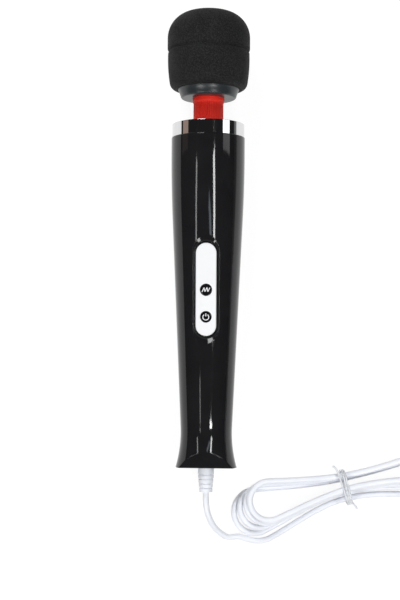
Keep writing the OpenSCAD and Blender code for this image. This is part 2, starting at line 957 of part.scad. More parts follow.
// Rubber tube with a flange at each end and fine flutes where it shows
module neck_sleeve() {
    outer = neck_d / 2;
    color([0.8, 0.1, 0.08])
        lie()
            difference() {
                union() {
                    translate([0, 0, deck_z])
                        cylinder(r = spigot_r - wall - gap, h = ring_top - ring_flange_t - deck_z - 0.1);
                    translate([0, 0, deck_z])
                        cylinder(r = outer, h = plate_z - deck_z);
                    translate([0, 0, collar_z - neck_band_h])
                        cylinder(d1 = neck_d, d2 = neck_band_d, h = neck_band_step);
                    translate([0, 0, collar_z - neck_band_h + neck_band_step])
                        cylinder(d = neck_band_d, h = neck_band_h - neck_band_step - gap);
                    translate([0, 0, collar_z + collar_floor])
                        cylinder(r = sleeve_top_r, h = plate_z - collar_z - collar_floor);
                }
                translate([0, 0, deck_z - 1])
                    cylinder(r = outer - neck_wall, h = plate_z - deck_z + 2);
                for (i = [0:flute_count - 1])
                    rotate(i * 360 / flute_count)
                        translate([outer + flute_r / 3, 0, ring_top - ring_flange_t])
                            cylinder(r = flute_r, h = neck_l + ring_flange_t - neck_band_h);
            }
}

// Dish under the head with a rounded lower rim and a thin lip
module head_collar() {
    lip_r = collar_d / 2;
    base_r = collar_base_d / 2;
    rim_r = 1.6;
    inner_r = core_r + fit;
    color([0.22, 0.25, 0.26])
        lie()
            rotate_extrude()
                polygon(concat(
                    [[neck_d / 2 + gap, collar_z]],
                    arc([base_r - rim_r, collar_z + rim_r], rim_r, -90, 0),
                    [
                        [lip_r - 0.7, head_z - 1.2],
                        [lip_r, head_z - 1],
                        [lip_r, head_z],
                        [inner_r, head_z],
                        [inner_r, plate_z],
                        [inner_r - 2, plate_z - 1],
                        [inner_r - 2, collar_z + collar_floor],
                        [neck_d / 2 + gap, collar_z + collar_floor]
                    ]
                ));
}

module at_head_screws() {
    for (i = [0:head_screw_count - 1])
        rotate(i * 360 / head_screw_count)
            translate([head_screw_r, 0, 0])
                children();
}

// Plate that closes the core and carries the lower bearing
module bearing_plate() {
    boss_wall = 2.8;
    color([0.3, 0.3, 0.31])
        lie()
            difference() {
                union() {
                    translate([0, 0, plate_z])
                        cylinder(r = core_r - fit, h = plate_t);
                    translate([0, 0, plate_z])
                        cylinder(r = lower_bearing_d / 2 + boss_wall, h = plate_t + bearing_lip + lower_bearing_h);
                }
                translate([0, 0, lower_bearing_z])
                    cylinder(r = lower_bearing_d / 2, h = far);
                translate([0, 0, plate_z - 1])
                    cylinder(r = drive_shaft_d / 2 + 2, h = far);
                at_head_screws()
                    translate([0, 0, plate_z - 1])
                        cylinder(r = small_screw_r + gap, h = plate_t + 2);
            }
}

// Rigid cup inside the cushion, with the upper bearing's seat under its top
module head_core() {
    seat_wall = 2.4;
    color([0.3, 0.3, 0.31])
        lie()
            difference() {
                union() {
                    difference() {
                        translate([0, 0, core_z])
                            cylinder(r = core_r, h = core_top - core_z);
                        translate([0, 0, core_z - 1])
                            cylinder(r = core_r - core_wall, h = core_top - core_wall - core_z + 1);
                    }
                    translate([0, 0, upper_bearing_z])
                        cylinder(r = upper_bearing_d / 2 + seat_wall, h = core_top - upper_bearing_z);
                    intersection() {
                        at_head_screws()
                            translate([0, 0, core_z])
                                cylinder(r = head_screw_boss_r, h = head_screw_boss_h);
                        cylinder(r = core_r - core_wall / 2, h = 2 * crown_z);
                    }
                }
                translate([0, 0, upper_bearing_z - 1])
                    cylinder(r = upper_bearing_d / 2, h = upper_bearing_h + 1);
                translate([0, 0, upper_bearing_z])
                    cylinder(r = upper_journal_d / 2 + 1, h = upper_bearing_h + 1);
                at_head_screws()
                    translate([0, 0, core_z - 1])
                        cylinder(r = small_screw_r + fit, h = head_screw_boss_h);
            }
}

module bearing(d, bore, z, h) {
    race = 1.4;
    groove = 0.6;
    difference() {
        ring_solid(d / 2, bore / 2 + fit, z, z + h);
        ring_solid(d / 2 - race, bore / 2 + race, z - 1, z + groove);
        ring_solid(d / 2 - race, bore / 2 + race, z + h - groove, z + h + 1);
    }
}

module lower_bearing() {
    color("silver")
        lie()
            bearing(lower_bearing_d, drive_shaft_d, lower_bearing_z, lower_bearing_h);
}

module upper_bearing() {
    color("silver")
        lie()
            bearing(upper_bearing_d, upper_journal_d, upper_bearing_z, upper_bearing_h);
}

module head_screws() {
    color("silver")
        lie()
            at_head_screws() {
                translate([0, 0, plate_z - small_head_h])
                    cylinder(r = small_head_r, h = small_head_h);
                translate([0, 0, plate_z - 0.1])
                    cylinder(r = small_screw_r, h = plate_t + head_screw_boss_h - 3);
            }
}

module head_cushion() {
    color([0.15, 0.15, 0.16])
        lie()
            difference() {
                rotate_extrude()
                    polygon(cushion_outline());
                translate([0, 0, head_z - 1])
                    cylinder(r = core_r + 0.1, h = core_top - head_z + 1.1);
            }
}

module drive_shaft() {
    color("silver")
        lie() {
            translate([0, 0, drive_shaft_z])
                cylinder(d = drive_shaft_d, h = upper_bearing_z - gap - drive_shaft_z);
            translate([0, 0, upper_bearing_z - gap - 0.1])
                cylinder(d = upper_journal_d, h = upper_bearing_h);
        }
}

// Half disc on a hub, which shakes the head as it turns
module eccentric_weight() {
    weight_hub_r = drive_shaft_d / 2 + 2.4;
    color([0.65, 0.65, 0.67])
        lie()
            translate([0, 0, weight_z])
                difference() {
                    union() {
                        rotate_extrude(angle = 180)
                            square([weight_r, weight_h]);
                        cylinder(r = weight_hub_r, h = weight_h);
                    }
                    translate([0, 0, -1])
                        cylinder(d = drive_shaft_d, h = weight_h + 2);
                }
}

// Place in the wand's frame of a point on the keypad's frame
function from_keypad(y, out) =
    [0, -key_r - y * sin(taper) - out * cos(taper), key_z + y * cos(taper) - out * sin(taper)];

module motor_leads() {
    start = from_keypad(motor_block_y + block.y - wire_bite, board_back - block.z / 2);
    end = [terminal_x, 0, motor_z - end_cap_t - terminal_h + 0.4];
    way = end - start;
    color("crimson")
        lie()
            for (side = [-1, 1])
                tube(
                    [
                        start + [side * block_wire_x, 0, 0],
                        start + [side * block_wire_x, 0.2, 0.3 * way.z],
                        start + [side * (block_wire_x + 0.4 * (terminal_x - block_wire_x)), 0.5 * way.y, 0.55 * way.z],
                        start + [side * (terminal_x - 0.4), 0.95 * way.y, 0.8 * way.z],
                        [side * end.x, end.y, end.z]
                    ],
                    wire_r, wire_sides, [0, 1, 0]
                );
}

// Inner end of the cord, held by the clamp, and its two wires to the board
module supply_leads() {
    start = [0, 0, inner_end_z];
    end = from_keypad(supply_block_y + wire_bite, board_back - block.z / 2);
    way = end - start;
    color("white")
        lie() {
            translate([0, 0, foot_floor + relief_flange_t + fit])
                cylinder(r = cord_r, h = inner_end_z - foot_floor - relief_flange_t - fit);
            for (side = [-1, 1])
                tube(
                    [
                        start + [side * cord_r / 2, 0, 0],
                        start + [side * cord_r * 0.7, 0, 0.12 * way.z],
                        start + [side * block_wire_x, 0.15 * way.y, 0.4 * way.z],
                        start + [side * block_wire_x, 0.6 * way.y, 0.75 * way.z],
                        start + [side * block_wire_x, 0.95 * way.y, 0.93 * way.z],
                        end + [side * block_wire_x, 0, 0]
                    ],
                    wire_r, wire_sides, [0, 1, 0]
                );
        }
}

// Places of the two clamp screws, which go in from the front
module at_clamp_screws() {
    for (side = [-1, 1])
        translate([side * clamp_screw_x, 0, clamp_z + clamp_h / 2])
            rotate([-90, 0, 0])
                children();
}

// Block on the rear shell that the cord is held against
module clamp_saddle() {
    intersection() {
        translate([-clamp_w / 2, cord_r, clamp_z])
            cube([clamp_w, far / 2, clamp_h]);
        handle_form(wall / 2);
    }
}

module cord_clamp() {
    color([0.25, 0.25, 0.26])
        lie()
            difference() {
                union() {
                    translate([-clamp_w / 2, -cord_r - clamp_t, clamp_z])
                        cube([clamp_w, clamp_t, clamp_h]);
                    for (side = [-1, 1])
                        translate([side * clamp_screw_x - 2.6, -cord_r - 0.1, clamp_z])
                            cube([5.2, cord_d + 0.1, clamp_h]);
                }
                at_clamp_screws()
                    translate([0, 0, -far / 2])
                        cylinder(r = small_screw_r + gap, h = far);
            }
}

module clamp_screws() {
    color("silver")
        lie()
            at_clamp_screws() {
                translate([0, 0, -cord_r - clamp_t - small_head_h])
                    cylinder(r = small_head_r, h = small_head_h);
                translate([0, 0, -cord_r - clamp_t - 0.1])
                    cylinder(r = small_screw_r, h = clamp_t + cord_d + 4);
            }
}

// Ribbed sleeve on the cord, with a flange behind the foot's floor
module strain_relief() {
    band = 4.6;
    groove = 0.7;
    pitch = (relief_l - band) / rib_count;
    rib_h = pitch * 0.76;
    core_out = relief_d / 2 - groove;
    core_tip = relief_tip_d / 2 - groove;
    color([0.93, 0.94, 0.96])
        lie() {
            translate([0, 0, foot_floor])
                cylinder(r = relief_flange_r, h = relief_flange_t);
            translate([0, 0, -0.1])
                cylinder(r = relief_neck_r, h = foot_floor + 0.2);
            translate([0, 0, -band])
                cylinder(r = relief_d / 2, h = band);
            translate([0, 0, -relief_l])
                cylinder(r1 = core_tip, r2 = core_out, h = relief_l - band + 0.1);
            for (i = [0:rib_count - 1])
                translate([0, 0, -relief_l + i * pitch])
                    cylinder(
                        r1 = (relief_tip_d + (relief_d - relief_tip_d) * i / rib_count) / 2,
                        r2 = (relief_tip_d + (relief_d - relief_tip_d) * (i + 0.6) / rib_count) / 2,
                        h = rib_h
                    );
        }
}

module cord_lead() {
    color([0.93, 0.94, 0.96])
        tube(lead_points, cord_r, lead_sides);
}

module cord_hank() {
    color([0.93, 0.94, 0.96])
        tube(hank_path, cord_r, hank_sides);
}

module cord_tail() {
    color([0.93, 0.94, 0.96])
        tube(tail_points, cord_r, lead_sides);
}

// Flat shape with round corners
module round_rect(low, high, r) {
    for (x = [low.x + r, high.x - r], y = [low.y + r, high.y - r])
        translate([x, y])
            circle(r = r);
    translate([low.x + r, low.y])
        square([high.x - low.x - 2 * r, high.y - low.y]);
    translate([low.x, low.y + r])
        square([high.x - low.x, high.y - low.y - 2 * r]);
}

// Twist tie round the waist of the hank
module cord_tie() {
    room = cord_r + gap;
    low = [for (k = [0, 1]) floor(10 * (min([for (m = tie_marks) m[k]]) - room)) / 10];
    high = [for (k = [0, 1]) ceil(10 * (max([for (m = tie_marks) m[k]]) + room)) / 10];
    rim = [tie_t, tie_t];
    color([0.9, 0.92, 0.95])
        translate([hank_at.x, hank_at.y, 0])
            rotate([90, 0, 90 + hank_turned])
                translate([0, 0, -tie_w / 2]) {
                    linear_extrude(tie_w)
                        difference() {
                            round_rect(low - rim, high + rim, tie_round + tie_t);
                            round_rect(low, high, tie_round);
                        }
                    translate([(low.x + high.x) / 2 - tie_tail_l / 2, high.y + tie_t + 0.4, tie_w / 2])
                        rotate([0, 90, 0])
                            cylinder(r = 0.9, h = tie_tail_l);
                }
}

// Flat plug with round ends and a tapered boot
module plug_body() {
    half = plug_w / 2 - plug_round;
    color([0.93, 0.94, 0.96])
        translate(plug_at)
            rotate([-90, 0, 0]) {
                cylinder(r1 = cord_r + 1, r2 = plug_boot_r, h = plug_boot_l);
                translate([0, 0, plug_boot_l - 0.1])
                    intersection() {
                        linear_extrude(plug_l + 0.1)
                            round_rect([-plug_w / 2, -plug_t / 2], [plug_w / 2, plug_t / 2], plug_round);
                        union() {
                            translate([-half, 0, plug_l / 2])
                                rotate([90, 0, 0])
                                    translate([0, 0, -plug_t])
                                        cylinder(r = plug_l * 0.62, h = 2 * plug_t);
                            translate([half, 0, plug_l / 2])
                                rotate([90, 0, 0])
                                    translate([0, 0, -plug_t])
                                        cylinder(r = plug_l * 0.62, h = 2 * plug_t);
                            translate([-half, -plug_t, -1])
                                cube([2 * half, 2 * plug_t, plug_l + 2]);
                        }
                    }
            }
}

module plug_pins() {
    tip = 0.8;
    color([0.75, 0.72, 0.6])
        translate(plug_at)
            rotate([-90, 0, 0])
                for (x = [-pin_gap / 2, pin_gap / 2])
                    translate([x, 0, plug_boot_l + plug_l]) {
                        cylinder(d = pin_d, h = pin_l - tip);
                        translate([0, 0, pin_l - tip])
                            cylinder(d1 = pin_d, d2 = pin_d - 2 * tip, h = tip);
                    }
}

front_shell();
rear_shell();
shell_screws();
trim_ring();
keypad_panel();
mode_button();
power_button();
control_board();
board_screws();
tact_switches();
board_components();
motor_can();
motor_end_cap();
motor_magnets();
motor_bushes();
front_motor_mount();
rear_motor_mount();
armature();
commutator();
motor_shaft();
flex_coupling();
neck_sleeve();
head_collar();
bearing_plate();
head_core();
lower_bearing();
upper_bearing();
head_screws();
head_cushion();
drive_shaft();
eccentric_weight();
motor_leads();
supply_leads();
cord_clamp();
clamp_screws();
strain_relief();
cord_lead();
cord_hank();
cord_tail();
cord_tie();
plug_body();
plug_pins();
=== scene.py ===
"""Wand massager lying on a white table: camera, finishes, cord, handle, head, key signs and light."""

import json
import math

import bmesh
import bpy
from mathutils import Matrix, Vector


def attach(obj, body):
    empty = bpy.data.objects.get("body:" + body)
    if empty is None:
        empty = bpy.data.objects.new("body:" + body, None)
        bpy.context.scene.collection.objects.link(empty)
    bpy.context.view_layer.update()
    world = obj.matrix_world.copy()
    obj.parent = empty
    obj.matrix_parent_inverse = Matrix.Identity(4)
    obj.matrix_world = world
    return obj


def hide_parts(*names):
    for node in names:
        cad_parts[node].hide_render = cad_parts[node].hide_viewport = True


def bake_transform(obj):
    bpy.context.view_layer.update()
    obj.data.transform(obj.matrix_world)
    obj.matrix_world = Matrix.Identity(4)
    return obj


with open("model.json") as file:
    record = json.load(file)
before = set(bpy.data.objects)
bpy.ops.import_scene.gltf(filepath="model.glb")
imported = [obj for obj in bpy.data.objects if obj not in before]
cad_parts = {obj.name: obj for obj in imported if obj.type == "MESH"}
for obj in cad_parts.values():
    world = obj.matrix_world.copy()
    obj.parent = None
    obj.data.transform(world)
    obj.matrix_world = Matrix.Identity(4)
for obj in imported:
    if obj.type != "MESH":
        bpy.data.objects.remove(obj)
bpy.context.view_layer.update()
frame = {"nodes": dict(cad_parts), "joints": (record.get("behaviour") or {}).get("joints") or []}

MM = 0.001
nodes = frame["nodes"]
joints = {joint["name"]: joint for joint in frame["joints"]}

# Wand frame: origin at the foot, Z along the wand, the keypad on -Y
axis = Vector(joints["motor_spin"]["axis"]).normalized()
pivot = Vector(joints["motor_spin"]["pos_m"])
foot = pivot + axis * min((v.co - pivot).dot(axis) for v in nodes["front_shell"].data.vertices)
right = Vector((1, 0, 0))
back = axis.cross(right)
wand = Matrix.Translation(foot) @ Matrix((right, back, axis)).transposed().to_4x4()

# Camera
CAMERA_AT = Vector((34.8, -117.3, 893.3)) * MM
CAMERA_AIM = Vector((-5.0, -43.6, 22.4)) * MM
CAMERA_ROLL = math.radians(0.5)
SENSOR = 36
LENS = 75.3


def add_camera():
    forward = (CAMERA_AIM - CAMERA_AT).normalized()
    level = forward.cross(Vector((0, 1, 0))).normalized()
    upright = level.cross(forward)
    across = level * math.cos(CAMERA_ROLL) + upright * math.sin(CAMERA_ROLL)
    up = upright * math.cos(CAMERA_ROLL) - level * math.sin(CAMERA_ROLL)
    data = bpy.data.cameras.new("camera")
    data.sensor_fit = "VERTICAL"
    data.sensor_height = SENSOR
    data.lens = LENS
    camera = bpy.data.objects.new("camera", data)
    turned = Matrix((across, up, -forward)).transposed()
    camera.matrix_world = Matrix.Translation(CAMERA_AT) @ turned.to_4x4()
    bpy.context.collection.objects.link(camera)
    bpy.context.scene.camera = camera


add_camera()


# Node materials: scales of noise, the range that most noise stays in, and depths of grain in metres
MOTTLE = 60
GLOSS = 140
GRAIN = 2600
NOISE_LOW = 0.3
NOISE_HIGH = 0.7
FINE = 0.00001
MEDIUM = 0.00002
COARSE = 0.00003


class Finish:
    """A Principled material whose colour, roughness and bump vary over the surface."""

    def __init__(self, name, **sockets):
        self.material = bpy.data.materials.new(name)
        self.material.use_nodes = True
        self.tree = self.material.node_tree
        self.shader = self.tree.nodes["Principled BSDF"]
        self.place = self.tree.nodes.new("ShaderNodeTexCoord").outputs["Object"]
        for socket, value in sockets.items():
            self.shader.inputs[socket.replace("_", " ")].default_value = value

    def noise(self, scale, detail=3.0, stretch=(1, 1, 1)):
        mapping = self.tree.nodes.new("ShaderNodeMapping")
        mapping.inputs["Scale"].default_value = stretch
        self.tree.links.new(self.place, mapping.inputs["Vector"])
        node = self.tree.nodes.new("ShaderNodeTexNoise")
        node.inputs["Scale"].default_value = scale
        node.inputs["Detail"].default_value = detail
        self.tree.links.new(mapping.outputs["Vector"], node.inputs["Vector"])
        return node.outputs["Fac"]

    def colour(self, source, low, high, start=NOISE_LOW, end=NOISE_HIGH):
        ramp = self.tree.nodes.new("ShaderNodeValToRGB")
        ramp.color_ramp.elements[0].position = start
        ramp.color_ramp.elements[0].color = (*low, 1)
        ramp.color_ramp.elements[1].position = end
        ramp.color_ramp.elements[1].color = (*high, 1)
        self.tree.links.new(source, ramp.inputs["Fac"])
        self.tree.links.new(ramp.outputs["Color"], self.shader.inputs["Base Color"])

    def roughness(self, source, low, high):
        spread = self.tree.nodes.new("ShaderNodeMapRange")
        spread.inputs["From Min"].default_value = NOISE_LOW
        spread.inputs["From Max"].default_value = NOISE_HIGH
        spread.inputs["To Min"].default_value = low
        spread.inputs["To Max"].default_value = high
        self.tree.links.new(source, spread.inputs["Value"])
        self.tree.links.new(spread.outputs["Result"], self.shader.inputs["Roughness"])

    def bump(self, source, depth, strength=1.0):
        node = self.tree.nodes.new("ShaderNodeBump")
        node.inputs["Distance"].default_value = depth
        node.inputs["Strength"].default_value = strength
        self.tree.links.new(source, node.inputs["Height"])
        self.tree.links.new(node.outputs["Normal"], self.shader.inputs["Normal"])

    def soften(self, radius):
        node = self.tree.nodes.new("ShaderNodeBevel")
        node.samples = 6
        node.inputs["Radius"].default_value = radius
        self.tree.links.new(node.outputs["Normal"], self.shader.inputs["Normal"])


def moulded(name, low, high, rough_low, rough_high, grain=0.0, edge=0.0, **sockets):
    """Moulded plastic or rubber with a faint mottle, and grain or softened edges where it has them."""
    finish = Finish(name, **sockets)
    finish.colour(finish.noise(MOTTLE), low, high)
    finish.roughness(finish.noise(GLOSS), rough_low, rough_high)
    if grain:
        finish.bump(finish.noise(GRAIN, 2.0), grain, 0.5)
    if edge:
        finish.soften(edge)
    return finish.material


def metal(name, low, high, rough_low, rough_high):
    """Metal with fine lengthwise brushing."""
    finish = Finish(name, Metallic=1.0)
    finish.colour(finish.noise(220, 2.0, (1, 0.05, 1)), low, high)
    finish.roughness(finish.noise(900, 2.0, (1, 0.04, 1)), rough_low, rough_high)
    return finish.material


gloss_black = moulded(
    "gloss_black", (0.010, 0.010, 0.011), (0.013, 0.013, 0.014), 0.04, 0.06, edge=0.001, IOR=1.4,
)
chrome = metal("bright_chrome", (0.66, 0.66, 0.67), (0.70, 0.70, 0.71), 0.03, 0.05)
white_panel = moulded("white_panel", (0.88, 0.89, 0.90), (0.91, 0.92, 0.93), 0.32, 0.42, FINE)
key_black = moulded(
    "key_black", (0.005, 0.005, 0.006), (0.008, 0.008, 0.009), 0.08, 0.12, Specular_IOR_Level=0.3,
)
key_ink = moulded("key_ink", (0.82, 0.82, 0.84), (0.88, 0.88, 0.90), 0.45, 0.55)
red_rubber = moulded(
    "red_rubber", (0.70, 0.018, 0.0075), (0.78, 0.024, 0.010), 0.5, 0.6, MEDIUM, Specular_IOR_Level=0.25,
)
collar_grey = moulded(
    "collar_grey", (0.020, 0.025, 0.027), (0.028, 0.034, 0.037), 0.28, 0.34,
    edge=0.0005, Specular_IOR_Level=0.4,
)
white_cord = moulded("white_cord", (0.84, 0.86, 0.92), (0.88, 0.90, 0.95), 0.30, 0.40, FINE)
steel = metal("bright_steel", (0.52, 0.52, 0.54), (0.64, 0.64, 0.66), 0.22, 0.34)
pin_metal = metal("pin_metal", (0.66, 0.62, 0.52), (0.76, 0.72, 0.62), 0.18, 0.28)
copper = metal("copper", (0.50, 0.25, 0.14), (0.62, 0.34, 0.20), 0.28, 0.42)
bronze = metal("bronze", (0.48, 0.34, 0.14), (0.58, 0.42, 0.20), 0.35, 0.50)
dark_plastic = moulded("dark_plastic", (0.018, 0.018, 0.020), (0.026, 0.026, 0.028), 0.45, 0.58, MEDIUM)
black_rubber = moulded("black_rubber", (0.010, 0.010, 0.010), (0.016, 0.016, 0.016), 0.60, 0.75, COARSE)
magnet_grey = moulded("magnet_grey", (0.030, 0.030, 0.032), (0.044, 0.044, 0.046), 0.55, 0.70, COARSE)
board_green = moulded("board_green", (0.010, 0.085, 0.035), (0.014, 0.110, 0.045), 0.30, 0.42)
component_brown = moulded("component_brown", (0.050, 0.026, 0.014), (0.075, 0.040, 0.022), 0.40, 0.55)
wire_red = moulded("wire_red", (0.36, 0.016, 0.014), (0.46, 0.022, 0.018), 0.45, 0.55)
tie_clear = moulded(
    "tie_clear", (0.82, 0.84, 0.88), (0.88, 0.90, 0.93), 0.25, 0.35, Transmission_Weight=0.2,
)


def foam():
    """Soft black foam rubber: a fine open grain over broad faint shading."""
    finish = Finish("black_foam", Specular_IOR_Level=0.35)
    finish.colour(finish.noise(1300, 3.0), (0.001, 0.001, 0.001), (0.017, 0.017, 0.0175), 0.42, 0.64)
    finish.roughness(finish.noise(90), 0.78, 0.92)
    finish.bump(finish.noise(1500, 5.0), 0.0004, 0.9)
    return finish.material


black_foam = foam()

# Finishes of the solids that are shown as they are; the pieces made below take the place of the others
node_finishes = {
    white_panel: ["keypad_panel"],
    key_black: ["mode_button", "power_button"],
    white_cord: ["strain_relief", "plug_body", "supply_leads"],
    pin_metal: ["plug_pins"],
    steel: [
        "shell_screws", "board_screws", "clamp_screws", "head_screws", "motor_can", "motor_shaft",
        "drive_shaft", "eccentric_weight", "lower_bearing", "upper_bearing",
    ],
    copper: ["armature", "commutator"],
    bronze: ["motor_bushes"],
    dark_plastic: ["motor_end_cap", "tact_switches", "bearing_plate", "head_core", "cord_clamp"],
    black_rubber: ["front_motor_mount", "rear_motor_mount"],
    magnet_grey: ["motor_magnets"],
    board_green: ["control_board"],
    component_brown: ["board_components"],
    wire_red: ["motor_leads"],
}
for finish, names in node_finishes.items():
    for name in names:
        nodes[name].data.materials.clear()
        nodes[name].data.materials.append(finish)


# Meshes, drawn in millimetres in the wand's frame
drawn = wand @ Matrix.Scale(MM, 4)


def new_piece(name, mesh_data, finish):
    piece = bpy.data.objects.new(name, mesh_data)
    piece.data.materials.clear()
    piece.data.materials.append(finish)
    bpy.context.collection.objects.link(piece)
    return piece


def skin(rings, joined=False, shape=None):
    """Closed skin over rings of equal count, capped at its ends or joined end to end."""
    if shape is None:
        shape = bmesh.new()
    rows = [[shape.verts.new(p) for p in ring] for ring in rings]
    if joined:
        rows.append(rows[0])
    count = len(rings[0])
    for low, high in zip(rows, rows[1:]):
        for k in range(count):
            n = (k + 1) % count
            shape.faces.new((low[k], low[n], high[n], high[k]))
    if not joined:
        shape.faces.new(rows[0][::-1])
        shape.faces.new(rows[-1])
    bmesh.ops.recalc_face_normals(shape, faces=shape.faces)
    return shape


def lathe(outline, sides=192, joined=False):
    """Solid turned from a half outline of radii and heights."""
    turns = [math.tau * k / sides for k in range(sides)]
    return skin([[(r * math.cos(a), r * math.sin(a), z) for a in turns] for r, z in outline], joined)


def flat_mesh(name, shape):
    data = bpy.data.meshes.new(name)
    shape.to_mesh(data)
    shape.free()
    return data


def smooth_mesh(name, shape, crease=30):
    """Mesh of a shape, smooth but for edges sharper than the crease."""
    data = flat_mesh(name, shape)
    data.shade_smooth()
    data.set_sharp_from_angle(angle=math.radians(crease))
    return data


def place_mesh(data):
    data.transform(drawn)
    return data


def arc(centre, radius, start, end, steps=10):
    """Points of an arc between two angles in degrees."""
    angles = [math.radians(start + (end - start) * i / steps) for i in range(steps + 1)]
    return [(centre[0] + radius * math.cos(a), centre[1] + radius * math.sin(a)) for a in angles]


# Cord: the route's points and the hank's formula, in millimetres as in the part's source
CORD_D = 4.2
RELIEF_L = 17
LEAD_WAY = [
    (0.4, -186.5, 16.6), (1.6, -192.2, 14.8), (3.7, -197.6, 12.2),
    (6.7, -202.2, 9.2), (10.6, -205.9, 6.2), (15.6, -208.7, 3.7),
]
TAIL_WAY = [
    (189.3, -137, 20.2), (189.6, -129, 17.6), (189.8, -121, 13.7), (190, -113, 9.4), (190, -105, 5.6),
    (190, -97, 3), (190, -88, 2.3), (190, -79, 3.2), (190, -70, 5.2),
]
PLUG_AT = Vector((190, -57, 6.85))
HANK_AT = (97, -174)
HANK_TURNED = math.radians(13)
HANK_START = 0.07
HANK_TURNS = 4.5
HANK_END_R = (19.8, 15, 13.8, 13.4, 13.4, 13.4)
HANK_REACH = (82, 80, 78, 76, 76, 76)
HANK_REACH_MORE = 10
HANK_WAIST = (9, 4.5, 4.5, 4.5, 4.5, 4.5)
HANK_SHIFT = (-4, -2.5, 0, 2.5, 4, 5)
HANK_SLIDE = (0, 0, 3, 6, 9, 9)
HANK_GATHER = 0.5
HANK_BOW = 3.5
HANK_BEND = math.radians(101)
HANK_LAYER_STEP = CORD_D + 0.5
HANK_LIFT = 1.4
CLIMB_FROM = 0.02
CLIMB_TO = 0.42
LOOP_RINGS = 96

# Twist tie: its free ends are measured from the corners of the hank's waist
TIE_WIRE = 1.3
TIE_GAP = 0.2
TIE_REACH = 4
TIE_ROUND = 4
TIE_SPREAD = 3.2
TIE_START = [(-6, 5, -0.5), (-3.6, 1, 0.5)]
TIE_END = [(2.6, -0.6, 4), (4, -3, 1.6), (5, -6, 0.6)]


def ease(x):
    x = min(max(x, 0), 1)
    return x * x * (3 - 2 * x)


def after(sizes, turn):
    """Size after a number of turns, from a list of sizes after each whole turn."""
    whole = min(int(turn), len(sizes) - 2)
    return sizes[whole] + (sizes[whole + 1] - sizes[whole]) * ease(turn - whole)


def lobe_side(t, radius, reach, waist):
    """Side of a hank's lobe, from its end to the waist: distances from the end and the middle."""
    turned = HANK_BEND * min(2 * t, 1)
    x = max(2 * t - 1, 0)
    bent = radius * Vector((1 - math.cos(turned), math.sin(turned)))
    way = Vector((reach, waist)) - bent
    leave = (1 - x) * Vector((math.sin(turned), math.cos(turned)))
    arrive = x * Vector((1, 0))
    return bent + way * x * x * (3 - 2 * x) + way.length * x * (1 - x) * (leave - arrive)


def hank_point(turn):
    part = 4 * (turn % 1)
    quarter = min(int(part), 3)
    t = part - quarter if quarter % 2 == 0 else 1 - part + quarter
    side = -1 if quarter < 2 else 1
    end = -1 if quarter in (0, 3) else 1
    reach = after(HANK_REACH, turn) + (HANK_REACH_MORE if end > 0 else 0)
    lobe = lobe_side(t, after(HANK_END_R, turn), reach, after(HANK_WAIST, turn))
    from_waist = end * (reach - lobe.x)
    drawn_in = math.cos(math.pi / 2 * min(abs(from_waist) / reach, 1)) ** 2
    u = from_waist + after(HANK_SLIDE, turn)
    v = side * lobe.y + after(HANK_SHIFT, turn) * (1 - HANK_GATHER * drawn_in) + HANK_BOW * drawn_in
    layer = max(math.floor(turn) - 1 + ease((turn % 1 - CLIMB_FROM) / (CLIMB_TO - CLIMB_FROM)), 0)
    return Vector((
        HANK_AT[0] + u * math.cos(HANK_TURNED) - v * math.sin(HANK_TURNED),
        HANK_AT[1] + u * math.sin(HANK_TURNED) + v * math.cos(HANK_TURNED),
        CORD_D / 2 + layer * HANK_LAYER_STEP + HANK_LIFT * math.sin(math.tau * turn) ** 8,
    ))


def smooth_route(points, steps=4):
    """Catmull-Rom curve through the points."""
    route = []
    for i in range(len(points) - 1):
        p0, p1, p2, p3 = (points[min(max(i + k, 0), len(points) - 1)] for k in (-1, 0, 1, 2))
        for s in range(steps):
            t = s / steps
            square = 2 * p0 - 5 * p1 + 4 * p2 - p3
            cube = 3 * p1 - p0 - 3 * p2 + p3
            route.append(0.5 * (2 * p1 + (p2 - p0) * t + square * t ** 2 + cube * t ** 3))
    return route + [points[-1]]


def round_wire(name, route, diameter):
    data = bpy.data.curves.new(name, "CURVE")
    data.dimensions = "3D"
    data.bevel_depth = diameter / 2 * MM
    data.bevel_resolution = 4
    data.use_fill_caps = True
    spline = data.splines.new("POLY")
    spline.points.add(len(route) - 1)
    for point, place in zip(spline.points, route):
        point.co = (*(place * MM), 1)
    spline.use_smooth = True
    return data


def tie_route(hank):
    """Two turns round the waist of the hank, with both ends left free."""
    turned = Matrix.Translation((*HANK_AT, 0)) @ Matrix.Rotation(HANK_TURNED, 4, "Z")
    marks = [p for p in (turned.inverted() @ q for q in hank) if abs(p.x) < TIE_REACH]
    room = (CORD_D + TIE_WIRE) / 2 + TIE_GAP
    low = [min(p[k] for p in marks) - room for k in (1, 2)]
    high = [max(p[k] for p in marks) + room for k in (1, 2)]
    corners = [(low[0], high[1]), (low[0], low[1]), (high[0], low[1]), (high[0], high[1])]
    around = []
    for k in (0, 1, 2, 3, 0, 1, 2, 3, 0):
        inward = (TIE_ROUND if k < 2 else -TIE_ROUND, TIE_ROUND if k in (1, 2) else -TIE_ROUND)
        middle = (corners[k][0] + inward[0], corners[k][1] + inward[1])
        around += arc(middle, TIE_ROUND, 90 * k + 90, 90 * k + 180, 6)
    step = TIE_SPREAD / (len(around) - 1)
    turns = [(i * step - TIE_SPREAD / 2, v, z) for i, (v, z) in enumerate(around)]
    start = [(u, high[0] + v, high[1] + z) for u, v, z in TIE_START]
    end = [(u, low[0] + v, low[1] + z) for u, v, z in TIE_END]
    return smooth_route([turned @ Vector(p) for p in start + turns + end], 3)


